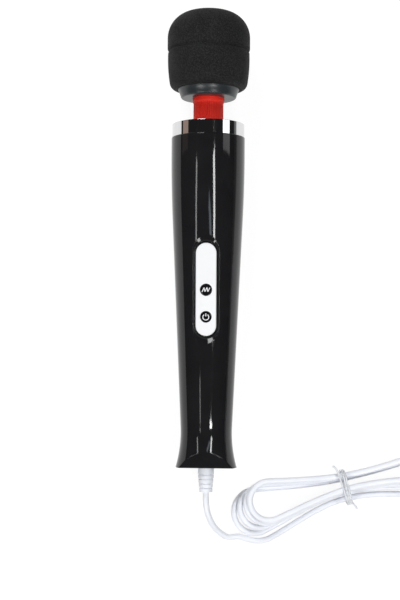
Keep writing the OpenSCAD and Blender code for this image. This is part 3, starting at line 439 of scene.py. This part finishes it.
def add_cord():
    rings = round((HANK_TURNS - HANK_START) * LOOP_RINGS)
    hank = [hank_point(HANK_START + (HANK_TURNS - HANK_START) * i / rings) for i in range(rings + 1)]
    first = hank[0] - 2 * CORD_D * (hank[1] - hank[0]).normalized()
    last = hank[-1] + CORD_D * (hank[-1] - hank[-2]).normalized()
    tip = foot / MM - RELIEF_L * axis
    lead = [tip, tip - CORD_D * axis] + [Vector(p) for p in LEAD_WAY] + [first, hank[0]]
    tail = [hank[-1], last] + [Vector(p) for p in TAIL_WAY] + [PLUG_AT - Vector((0, CORD_D, 0)), PLUG_AT]
    route = smooth_route(lead)[:-1] + hank + smooth_route(tail)[1:]
    cord = new_piece("cord", round_wire("cord", route, CORD_D), white_cord)
    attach(cord, "handle")
    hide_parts("cord_lead", "cord_hank", "cord_tail")
    tie = new_piece("tie", round_wire("tie", tie_route(hank), TIE_WIRE), tie_clear)
    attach(tie, "handle")
    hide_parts("cord_tie")


add_cord()


# Handle shells: turned, cut and halved as in the part's source, with a finer skin
HANDLE_L = 229
TOP_R = 25.7
SHOULDER_Z = 196
BLEND_R = 1000
WAIST_R = 17.9
WAIST_Z = 28
FLARE_R = 86
FOOT_HALF = 10.5
FACET_H = 11.4
WALL = 2.4
FOOT_FLOOR = 3
DECK_LOW = 226.5
DECK_HIGH = 232
DECK_HOLE_R = 11
SPIGOT_R = 23.55
SPIGOT_TOP = 235.95
RELIEF_HOLE_R = 5.05
SEAT_R = 20.8
SEAT_H = 7
SEATS = (166.5, 208)
SCREWS = ((14.5, 157.4), (10.5, 62))
SCREW_SEAT = 8
SCREW_REACH = 10
SCREW_HOLE_R = 1.45
SCREW_WELL_R = 2.9
BOSS_R = 3.4
CLAMP_BLOCK = ((-9, 2.1, 14), (9, 40, 20))
CLAMP_HOLE_X = 6.2
CLAMP_HOLE_Z = 17
CLAMP_HOLE_R = 1.15
CLAMP_HOLE_DEEP = 8
PARTING = 0.06
OVERCUT = 1
DECK_OVERCUT = 9
FAR = 80
OUTER_SIDES = 256
INNER_SIDES = 96
SEAT_SIDES = 90
SHELL_CREASE = 20
ON_OUTSIDE = 0.02
FACING_OUT = 0.985
taper = math.atan((TOP_R - WAIST_R) / (SHOULDER_Z - WAIST_Z))
flare_c = (WAIST_R + FLARE_R * math.cos(taper), WAIST_Z - FLARE_R * math.sin(taper))
blend_c = (TOP_R - BLEND_R, SHOULDER_Z + BLEND_R * math.tan(taper / 2))
blend_from = blend_c[1] - BLEND_R * math.sin(taper)

# Keypad: heights are measured out of the handle's front line
KEY_Z = 122
KEY_HALF_L = 24.7
RECESS_R = 8.3
RECESS_DEPTH = 2.7
RECESS_STEP = (0.6, 0.8)
RECESS_RAMP = (5.2, 3.14)
BED_R = 9.8
BED_BACK = -5.9
POCKET_FLOOR = -4.7
KEYS = ((-0.3, 3.9), (-18.7, 3.7))
POCKET_OVER = 1.3
STEM_HOLE_R = 1.8
POSTS = [(x, y) for x in (-8.5, 8.5) for y in (-27.5, 27.5)]
POST_R = 2.2
POST_LOW = -9.2
POST_HOLE_R = 1.15
POST_HOLE_DEEP = 3
key_r = WAIST_R + (KEY_Z - WAIST_Z) * math.tan(taper)
on_keypad = Matrix.Translation((0, -key_r, KEY_Z)) @ Matrix.Rotation(math.pi / 2 + taper, 4, "X")


def handle_surface(z):
    """Radius of the handle's outside at a height, and the outward direction there."""
    if z < WAIST_Z:
        lean = math.asin((flare_c[1] - z) / FLARE_R)
        return flare_c[0] - FLARE_R * math.cos(lean), (math.cos(lean), math.sin(lean))
    if z < blend_from:
        return WAIST_R + (z - WAIST_Z) * math.tan(taper), (math.cos(taper), -math.sin(taper))
    lean = math.asin(min((z - blend_c[1]) / BLEND_R, 0))
    return blend_c[0] + BLEND_R * math.cos(lean), (math.cos(lean), math.sin(lean))


def trim(shape, place, out):
    """Cuts off what lies beyond a plane and closes the cut."""
    everything = shape.verts[:] + shape.edges[:] + shape.faces[:]
    bmesh.ops.bisect_plane(shape, geom=everything, plane_co=place, plane_no=out, clear_outer=True)
    bmesh.ops.holes_fill(shape, edges=[edge for edge in shape.edges if edge.is_boundary])


def handle_form(inset, sides, low=None, high=None):
    """Handle with the facets of its foot, drawn in by an inset and cut to a height range."""
    lean = math.degrees(math.asin(flare_c[1] / FLARE_R))
    steep = math.degrees(taper)
    outline = arc(flare_c, FLARE_R + inset, 180 + lean, 180 - steep, 24)
    outline += arc(blend_c, BLEND_R - inset, -steep, 0, 12)
    if high is None:
        outline += [(TOP_R, HANDLE_L), (SPIGOT_R, HANDLE_L), (SPIGOT_R, SPIGOT_TOP)]
    else:
        outline += [(TOP_R - inset, high)]
    shape = lathe(outline, sides)
    facet = math.atan((handle_surface(FACET_H)[0] - FOOT_HALF) / FACET_H)
    for side in (-1, 1):
        out = Vector((0, side * math.cos(facet), -math.sin(facet)))
        trim(shape, Vector((0, side * FOOT_HALF, 0)) - out * inset, out)
    if low is not None:
        trim(shape, (0, 0, low), (0, 0, -1))
    return shape


def inside_form(inset):
    """Form of the handle's inside, between the floor of its foot and its deck."""
    return handle_form(inset, INNER_SIDES, FOOT_FLOOR, DECK_LOW)


def drum(r, low, high):
    """Cylinder along the wand, from one height to another."""
    return lathe([(r, low), (r, high)], INNER_SIDES)


def block(low, high):
    corners = [(low[0], low[1]), (high[0], low[1]), (high[0], high[1]), (low[0], high[1])]
    return skin([[(x, y, z) for x, y in corners] for z in (low[2], high[2])])


def rod(x, z, r, low, high, sides=48):
    """Cylinder across the wand, from one depth to another."""
    turns = [math.tau * k / sides for k in range(sides)]
    return skin([[(x + r * math.cos(a), y, z + r * math.sin(a)) for a in turns] for y in (low, high)])


def key_rod(x, y, r, low, high, sides=48):
    """Cylinder out of the keypad, from one height to another."""
    turns = [math.tau * k / sides for k in range(sides)]
    around = [(x + r * math.cos(a), y + r * math.sin(a)) for a in turns]
    return skin([[on_keypad @ Vector((u, v, h)) for u, v in around] for h in (low, high)])


def key_stadium(levels, sides=96):
    """Round-ended solid on the keypad, from its half widths and heights."""
    rings = []
    for r, h in levels:
        ring = []
        for k in range(sides):
            a = math.tau * (k + 0.5) / sides
            end = KEY_HALF_L if math.sin(a) > 0 else -KEY_HALF_L
            ring.append(on_keypad @ Vector((r * math.cos(a), end + r * math.sin(a), h)))
        rings.append(ring)
    return skin(rings)


def loose(shape):
    solid = bpy.data.objects.new("solid", flat_mesh("solid", shape))
    bpy.context.collection.objects.link(solid)
    return solid


def carve(body, steps):
    """Mesh of a solid after it is joined to, cut by or kept within others in turn."""
    target = loose(body)
    tools = []
    for operation, shape in steps:
        tools.append(loose(shape))
        change = target.modifiers.new(operation, "BOOLEAN")
        change.operation = operation
        change.solver = "EXACT"
        change.object = tools[-1]
    result = bpy.data.meshes.new_from_object(target.evaluated_get(bpy.context.evaluated_depsgraph_get()))
    for solid in [target] + tools:
        bpy.data.objects.remove(solid)
    return result


def kept_within(solid, form):
    """Shape of what a solid and a form share."""
    data = carve(solid, [("INTERSECT", form)])
    shape = bmesh.new()
    shape.from_mesh(data)
    return shape


def polish(data):
    """Sharp edges where faces meet at an angle, and true normals on the handle's turned outside."""
    data.shade_smooth()
    data.set_sharp_from_angle(angle=math.radians(SHELL_CREASE))
    normals = [Vector(corner.vector) for corner in data.corner_normals]
    for face in data.polygons:
        for corner in face.loop_indices:
            x, y, z = data.vertices[data.loops[corner].vertex_index].co
            if not 0 <= z <= HANDLE_L:
                continue
            radius, (out, up) = handle_surface(z)
            r = math.hypot(x, y)
            true = Vector((x / r * out, y / r * out, up)) if r else face.normal
            if abs(r - radius) < ON_OUTSIDE and face.normal.dot(true) > FACING_OUT:
                normals[corner] = true
    data.normals_split_custom_set(normals)


def add_shell(name, node, side, extra, cuts):
    steps = [
        ("DIFFERENCE", inside_form(WALL)),
        ("DIFFERENCE", drum(DECK_HOLE_R, DECK_LOW - DECK_OVERCUT, DECK_HIGH + DECK_OVERCUT)),
        ("DIFFERENCE", drum(SPIGOT_R - WALL, DECK_HIGH, DECK_HIGH + DECK_OVERCUT)),
        ("DIFFERENCE", drum(RELIEF_HOLE_R, -OVERCUT, FOOT_FLOOR + OVERCUT)),
    ]
    for z in SEATS:
        outer = [handle_surface(h)[0] - WALL / 2 for h in (z, z + SEAT_H)]
        seat = [(SEAT_R, z), (outer[0], z), (outer[1], z + SEAT_H), (SEAT_R, z + SEAT_H)]
        steps.append(("UNION", lathe(seat, SEAT_SIDES, True)))
    for x, z in SCREWS:
        for place in (-x, x):
            boss = rod(place, z, BOSS_R, -FAR, FAR)
            steps.append(("UNION", kept_within(boss, inside_form(WALL / 2))))
    steps += [("UNION", shape) for shape in extra]
    near, beyond = sorted((side * PARTING / 2, side * 2 * FAR))
    steps.append(("INTERSECT", block((-FAR, near, -FAR), (FAR, beyond, 4 * FAR))))
    steps += [("DIFFERENCE", shape) for shape in cuts]
    data = carve(handle_form(0, OUTER_SIDES), steps)
    polish(data)
    shell = new_piece(name, place_mesh(data), gloss_black)
    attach(shell, "handle")
    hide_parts(node)


def add_shells():
    bed = key_stadium([(BED_R, BED_BACK), (BED_R, 0)])
    front_extra = [kept_within(bed, inside_form(WALL / 2))]
    front_extra += [key_rod(x, y, POST_R, POST_LOW, -RECESS_DEPTH - OVERCUT) for x, y in POSTS]
    recess = [(RECESS_R + out, up - RECESS_DEPTH) for out, up in ((0, 0), RECESS_STEP, RECESS_RAMP)]
    front_cuts = [key_stadium(recess)]
    for y, r in KEYS:
        front_cuts.append(key_rod(0, y, r + POCKET_OVER, POCKET_FLOOR, 0))
        front_cuts.append(key_rod(0, y, STEM_HOLE_R, BED_BACK - OVERCUT, 0))
    post_hole = (POST_LOW - OVERCUT, POST_LOW + POST_HOLE_DEEP)
    front_cuts += [key_rod(x, y, POST_HOLE_R, *post_hole) for x, y in POSTS]
    screws = [(side * x, z) for x, z in SCREWS for side in (-1, 1)]
    front_cuts += [rod(x, z, SCREW_HOLE_R, -SCREW_REACH, OVERCUT) for x, z in screws]
    add_shell("front_cover", "front_shell", -1, front_extra, front_cuts)
    saddle = kept_within(block(*CLAMP_BLOCK), inside_form(WALL / 2))
    rear_cuts = [rod(x, z, SCREW_HOLE_R, -OVERCUT, FAR) for x, z in screws]
    rear_cuts += [rod(x, z, SCREW_WELL_R, SCREW_SEAT, FAR) for x, z in screws]
    for x in (-CLAMP_HOLE_X, CLAMP_HOLE_X):
        rear_cuts.append(rod(x, CLAMP_HOLE_Z, CLAMP_HOLE_R, -OVERCUT, CLAMP_HOLE_DEEP))
    add_shell("rear_cover", "rear_shell", 1, [saddle], rear_cuts)


add_shells()


# Chrome ring and collar: an outline's hold is a short flat beside a round edge
RING_R = 25.3
RING_BORE_R = 23.6
RING_LIP_R = 11.5
RING_LIP_Z = 236
RING_TOP = 238.5
RING_ROUND = 0.3
RING_HOLD = 0.1
COLLAR_BORE_R = 10.8
COLLAR_LOW = 257.2
COLLAR_T = 2
COLLAR_ROUND = 1.6
COLLAR_FLAT_R = 18
COLLAR_EDGE = [(20.8, 262.3), (20.9, 262.44), (21.42, 263.28), (21.5, 263.4), (21.4, 263.5)]
COLLAR_CUP = [(20.05, 263.5), (20.05, 261.3), (18.05, 260.3), (18.05, 259.2)]


def add_turned(name, outline, finish, body, node):
    shape = lathe(outline, OUTER_SIDES, True)
    piece = new_piece(name, place_mesh(smooth_mesh(name, shape)), finish)
    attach(piece, body)
    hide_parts(node)


ring_edge = (RING_R - RING_ROUND, RING_TOP - RING_ROUND)
ring_outline = (
    [(RING_LIP_R, RING_LIP_Z), (RING_BORE_R, RING_LIP_Z), (RING_BORE_R, HANDLE_L), (RING_R, HANDLE_L)]
    + [(RING_R, ring_edge[1] - RING_HOLD)]
    + arc(ring_edge, RING_ROUND, 0, 90, 8)
    + [(ring_edge[0] - RING_HOLD, RING_TOP), (RING_LIP_R, RING_TOP)]
)
add_turned("chrome_ring", ring_outline, chrome, "handle", "trim_ring")
collar_outline = (
    [(COLLAR_BORE_R, COLLAR_LOW)]
    + arc((COLLAR_FLAT_R, COLLAR_LOW + COLLAR_ROUND), COLLAR_ROUND, -90, 0)
    + COLLAR_EDGE
    + COLLAR_CUP
    + [(COLLAR_BORE_R, COLLAR_LOW + COLLAR_T)]
)
add_turned("collar_dish", collar_outline, collar_grey, "head", "head_collar")


# Head cushion
HEAD_Z = 263.5
HEAD_H = 55.7
LOW_R = 28.7
HIGH_R = 29.0
HEM_R = 5
SWELL_H = 21.5
SWELL_R = 107
GROOVE_H = 26.8
GROOVE_HALF = 1
GROOVE_EDGE = 1.4
GROOVE_DEPTH = 1.2
GROOVE_OUT = 0.1
GROOVE_DROP = 1.2
GROOVE_LIP = [(-0.35, 0.05), (-0.08, 0.5), (0, 1.2)]
BAND_H = 8.5
CROWN_R = 80
CROWN_END = 89.6
CORE_R = 20.1
CUSHION_SIDES = 160


def cushion_outline():
    """Radius and height from the hem under the cushion, over its groove, to the crown."""
    swell_c = (LOW_R - SWELL_R, HEAD_Z + SWELL_H)
    hem_angle = math.asin((SWELL_H - HEM_R) / (SWELL_R - HEM_R))
    hem_c = (
        swell_c[0] + (SWELL_R - HEM_R) * math.cos(hem_angle),
        swell_c[1] - (SWELL_R - HEM_R) * math.sin(hem_angle),
    )
    band_z = HEAD_Z + GROOVE_H + GROOVE_HALF
    crown_z = HEAD_Z + HEAD_H - CROWN_R
    rise = band_z + BAND_H - crown_z
    edge_r = (CROWN_R ** 2 - rise ** 2 - HIGH_R ** 2) / (2 * (CROWN_R - HIGH_R))
    edge_c = (HIGH_R - edge_r, band_z + BAND_H)
    lean = math.degrees(math.atan2(rise, edge_c[0]))
    groove_angle = math.degrees(math.asin((GROOVE_H - GROOVE_EDGE - SWELL_H) / SWELL_R))
    groove_c = (HIGH_R + GROOVE_OUT, band_z - GROOVE_DROP)
    return (
        [(CORE_R, HEAD_Z)]
        + arc(hem_c, HEM_R, -90, -math.degrees(hem_angle))
        + arc(swell_c, SWELL_R, -math.degrees(hem_angle), groove_angle)
        + arc(groove_c, GROOVE_DEPTH + GROOVE_OUT, 235, 110, 8)
        + [(HIGH_R + out, band_z + up) for out, up in GROOVE_LIP]
        + arc(edge_c, edge_r, 0, lean, 24)
        + arc((0, crown_z), CROWN_R, lean, CROWN_END, 12)
    )


def add_cushion():
    shape = lathe(cushion_outline(), CUSHION_SIDES)
    cushion = new_piece("cushion", place_mesh(smooth_mesh("cushion", shape)), black_foam)
    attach(cushion, "head")
    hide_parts("head_cushion")


add_cushion()


# Neck sleeve: two fluted lengths, each lying across one of the neck's two joints
NECK_R = 10.5
NECK_BAND_R = 11.1
NECK_LOW = 236.2
NECK_MID = 247.7
NECK_BAND = 253.4
NECK_BAND_EASE = 1.6
NECK_TOP = 259.0
NECK_STEP = 0.4
NECK_CREASE = 50
FLUTES = 48
FLUTE_DEPTH = 0.3
FLUTE_ROUND = 0.7
FLUTE_POINTS = 8


def neck_ring(height):
    band = ease((height - NECK_BAND) / NECK_BAND_EASE)
    radius = NECK_R + (NECK_BAND_R - NECK_R) * band
    ring = []
    for k in range(FLUTES * FLUTE_POINTS):
        a = math.tau * k / (FLUTES * FLUTE_POINTS)
        hollow = max(0, math.cos(FLUTES * a)) ** FLUTE_ROUND * FLUTE_DEPTH * (1 - band)
        ring.append(((radius - hollow) * math.cos(a), (radius - hollow) * math.sin(a), height))
    return ring


def heights(low, high, step):
    """Even heights from low to high, no further apart than a step."""
    count = math.ceil((high - low) / step)
    return [low + (high - low) * i / count for i in range(count + 1)]


def bend(piece):
    """Bakes a piece's placement into its mesh."""
    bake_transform(piece)


def add_neck(name, low, high):
    shape = skin([neck_ring(z) for z in heights(low, high, NECK_STEP)])
    sleeve = new_piece(name, place_mesh(smooth_mesh(name, shape, NECK_CREASE)), red_rubber)
    bend(sleeve)
    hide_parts("neck_sleeve")


add_neck("neck_lower", NECK_LOW, NECK_MID)
add_neck("neck_upper", NECK_MID, NECK_TOP)


# Drive coupling in the neck: its foot turns with the motor; its hose and top lie along the neck
HOSE_R = 4.2
HOSE_BORE_R = 2.6
HOSE_LOW = 232
HOSE_HIGH = 250.6
HOSE_GAP = 0.1
HOSE_STEP = 0.8
HOSE_SIDES = 64
HUB_R = 5.2
LOW_HUB = (222.5, 229)
LOW_HUB_BORE_R = 1.6
HIGH_HUB = (250.8, 257.8)
HIGH_HUB_BORE_R = 3.05


def hub(bore_r, near, far):
    """Outline of a hub from the hose's outside, round its far end and back to the hose's bore."""
    outside = [(HOSE_R, near), (HUB_R, near), (HUB_R, far)]
    return outside + [(bore_r, far), (bore_r, near), (HOSE_BORE_R, near)]


def hose_wall(low, high):
    """Outside of a length of hose from low to high, and its bore from high to low."""
    rise = heights(low, high, HOSE_STEP)
    return [(HOSE_R, z) for z in rise], [(HOSE_BORE_R, z) for z in reversed(rise)]


def add_coupling(name, outline):
    shape = lathe(outline, HOSE_SIDES, True)
    piece = new_piece(name, place_mesh(smooth_mesh(name, shape)), black_rubber)
    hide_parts("flex_coupling")
    return piece


low_hub = hub(LOW_HUB_BORE_R, LOW_HUB[1], LOW_HUB[0])[::-1]
coupling_foot = add_coupling("coupling_foot", low_hub + [(HOSE_R, HOSE_LOW), (HOSE_BORE_R, HOSE_LOW)])
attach(coupling_foot, "rotor")
outside, bore = hose_wall(HOSE_LOW + HOSE_GAP, NECK_MID)
coupling_hose = add_coupling("coupling_hose", outside + bore)
bend(coupling_hose)
outside, bore = hose_wall(NECK_MID, HOSE_HIGH)
coupling_top = add_coupling("coupling_top", outside + hub(HIGH_HUB_BORE_R, *HIGH_HUB) + bore)
bend(coupling_top)


# Signs on the keys
SIGN_T = 0.05
SIGN_W = 0.56
TOP_WITHIN = 0.01


def key_frame(node, joint):
    """Matrix at the middle of a key's top: X across the wand, Y towards the head, Z out."""
    out = -Vector(joints[joint]["axis"]).normalized()
    points = [v.co for v in nodes[node].data.vertices]
    top = max(p.dot(out) for p in points)
    rim = [p for p in points if p.dot(out) > top - TOP_WITHIN * MM]
    middle = (Vector(map(min, zip(*rim))) + Vector(map(max, zip(*rim)))) / 2
    return Matrix.Translation(middle) @ Matrix((right, out.cross(right), out)).transposed().to_4x4()


def ribbon(points, width):
    """Left and right edges of a line of even width, with its ends cut square."""
    edges = []
    for i, p in enumerate(points):
        ahead = points[min(i + 1, len(points) - 1)]
        behind = points[max(i - 1, 0)]
        side = Vector((behind[1] - ahead[1], ahead[0] - behind[0])).normalized() * width / 2
        edges.append((Vector(p) + side, Vector(p) - side))
    return edges


def add_sign(name, lines, node, joint, body):
    place = key_frame(node, joint)
    shape = bmesh.new()
    for line in lines:
        rings = []
        for a, b in ribbon(line, SIGN_W):
            corners = [(a, SIGN_T), (b, SIGN_T), (b, -SIGN_T), (a, -SIGN_T)]
            rings.append([place @ (Vector((p.x, p.y, h)) * MM) for p, h in corners])
        skin(rings, shape=shape)
    sign = new_piece(name, flat_mesh(name, shape), key_ink)
    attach(sign, body)


wave = [(-2.7, -1.5), (-1.3, 1.5), (-0.7, -1.4), (0.7, 1.6), (1.3, -1.4), (2.6, 1.4)]
add_sign("wave_sign", list(zip(wave, wave[1:])), "mode_button", "mode_press", "mode_key")
power_ring = arc((0, -0.2), 2.0, 125, 415, 30)
power_bar = [(0, 0.3), (0, 2.3)]
add_sign("power_sign", [power_ring, power_bar], "power_button", "power_press", "power_key")


# Floor, world and lamps
FLOOR_SIZE = 6.0
# Painted shade on the floor: its glow is white near the wand and fades to dark farther out, soonest to
# the right, in place of lamp light falling off; gloss and metal reflect that dark
FLOOR_FADE_AT = (-0.4, 0, 0)
FLOOR_FADE = (1.0, 1.45, 1.0)
FLOOR_EDGE = (0.33, 0.44)
FLOOR_PAINTED_SHADE = (0.02, 0.02, 0.02, 1)
FLOOR_WHITE = (1, 1, 1, 1)
FLOOR_GLOW = 1.13
FLOOR_SHADOW = 0.2
SKY = (0.016, 0.016, 0.017, 1)
ON_HANDLE = (0, 0.02, 0.05)
ON_RING = (0, 0.075, 0.045)
ON_FOOT = (0, -0.1, 0.03)


def add_floor():
    shape = bmesh.new()
    bmesh.ops.create_grid(shape, x_segments=2, y_segments=2, size=FLOOR_SIZE / 2)
    floor = bpy.data.objects.new("floor", flat_mesh("floor", shape))
    bpy.context.collection.objects.link(floor)
    paint = Finish("floor_white", Roughness=0.9)
    paint.colour(paint.noise(3), (0.82, 0.82, 0.82), (0.84, 0.84, 0.84))
    tree = paint.tree
    mapping = tree.nodes.new("ShaderNodeMapping")
    mapping.inputs["Location"].default_value = [-a / b for a, b in zip(FLOOR_FADE_AT, FLOOR_FADE)]
    mapping.inputs["Scale"].default_value = [1 / b for b in FLOOR_FADE]
    tree.links.new(paint.place, mapping.inputs["Vector"])
    # Painted shade: a round fade of the floor's glow from white to dark away from the wand
    spot = tree.nodes.new("ShaderNodeTexGradient")
    spot.gradient_type = "SPHERICAL"
    tree.links.new(mapping.outputs["Vector"], spot.inputs["Vector"])
    ramp = tree.nodes.new("ShaderNodeValToRGB")
    stops = zip(ramp.color_ramp.elements, FLOOR_EDGE, (FLOOR_PAINTED_SHADE, FLOOR_WHITE))
    for stop, position, colour in stops:
        stop.position = position
        stop.color = colour
    tree.links.new(spot.outputs["Fac"], ramp.inputs["Fac"])
    glow = tree.nodes.new("ShaderNodeEmission")
    glow.inputs["Strength"].default_value = FLOOR_GLOW
    tree.links.new(ramp.outputs["Color"], glow.inputs["Color"])
    path = tree.nodes.new("ShaderNodeLightPath")
    seen = path.outputs["Is Camera Ray"]
    for kind in ("Is Glossy Ray", "Is Transmission Ray"):
        either = tree.nodes.new("ShaderNodeMath")
        either.operation = "MAXIMUM"
        tree.links.new(seen, either.inputs[0])
        tree.links.new(path.outputs[kind], either.inputs[1])
        seen = either.outputs["Value"]
    share = tree.nodes.new("ShaderNodeMath")
    share.operation = "MULTIPLY"
    share.inputs[1].default_value = 1 - FLOOR_SHADOW
    tree.links.new(seen, share.inputs[0])
    mix = tree.nodes.new("ShaderNodeMixShader")
    tree.links.new(share.outputs["Value"], mix.inputs["Fac"])
    tree.links.new(paint.shader.outputs["BSDF"], mix.inputs[1])
    tree.links.new(glow.outputs["Emission"], mix.inputs[2])
    tree.links.new(mix.outputs["Shader"], tree.nodes["Material Output"].inputs["Surface"])
    floor.data.materials.append(paint.material)


def add_world():
    world = bpy.data.worlds.new("studio")
    world.use_nodes = True
    world.node_tree.nodes["Background"].inputs["Color"].default_value = SKY
    bpy.context.scene.world = world


def add_lamp(name, place, aim, size, power, along=(0, 1, 0), tint=(1, 1, 1)):
    """Rectangular lamp that faces a point, with its second size along a direction."""
    data = bpy.data.lights.new(name, "AREA")
    data.shape = "RECTANGLE"
    data.size, data.size_y = size
    data.energy = power
    data.color = tint
    lamp = bpy.data.objects.new(name, data)
    away = (Vector(place) - Vector(aim)).normalized()
    length = Vector(along)
    length = (length - length.dot(away) * away).normalized()
    turned = Matrix((length.cross(away), length, away)).transposed()
    lamp.matrix_world = Matrix.Translation(Vector(place)) @ turned.to_4x4()
    bpy.context.collection.objects.link(lamp)


add_floor()
add_world()
add_lamp("right_strip", (0.50, 0.01, 1.2), ON_HANDLE, (0.11, 0.44), 3.8, (-0.105, 0.265, 0))
add_lamp("right_glow", (0.24, -0.03, 1.2), ON_HANDLE, (0.30, 0.07), 0.24, (0.13, 0.2, 0), (0.75, 0.88, 1))
add_lamp("left_strip", (-0.83, 0.01, 1.2), ON_HANDLE, (0.09, 0.42), 1.0, (0.095, 0.233, 0))
add_lamp("foot_spot", (0.49, -0.36, 1.2), (0, -0.13, 0.04), (0.20, 0.022), 0.7)
add_lamp("left_low_strip", (-0.545, -0.315, 1.2), (0, -0.11, 0.04), (0.06, 0.08), 0.1)
add_lamp("right_box", (0.967, 0.33, 0.578), ON_RING, (0.46, 0.23), 0.7)
add_lamp("left_box", (-1.0, 0.33, 0.319), ON_RING, (0.39, 0.23), 0.1, tint=(1, 0.72, 0.6))
add_lamp("head_softbox", (-0.45, 1.2, 1.0), (0, 0.05, 0.03), (0.5, 0.6), 12)
add_lamp("foot_right_softbox", (0.52, -1.18, 1.2), ON_FOOT, (0.55, 0.4), 10)
add_lamp("foot_left_softbox", (-0.75, -1.05, 1.2), ON_FOOT, (0.55, 0.4), 10)

bpy.context.scene.view_settings.view_transform = "Standard"
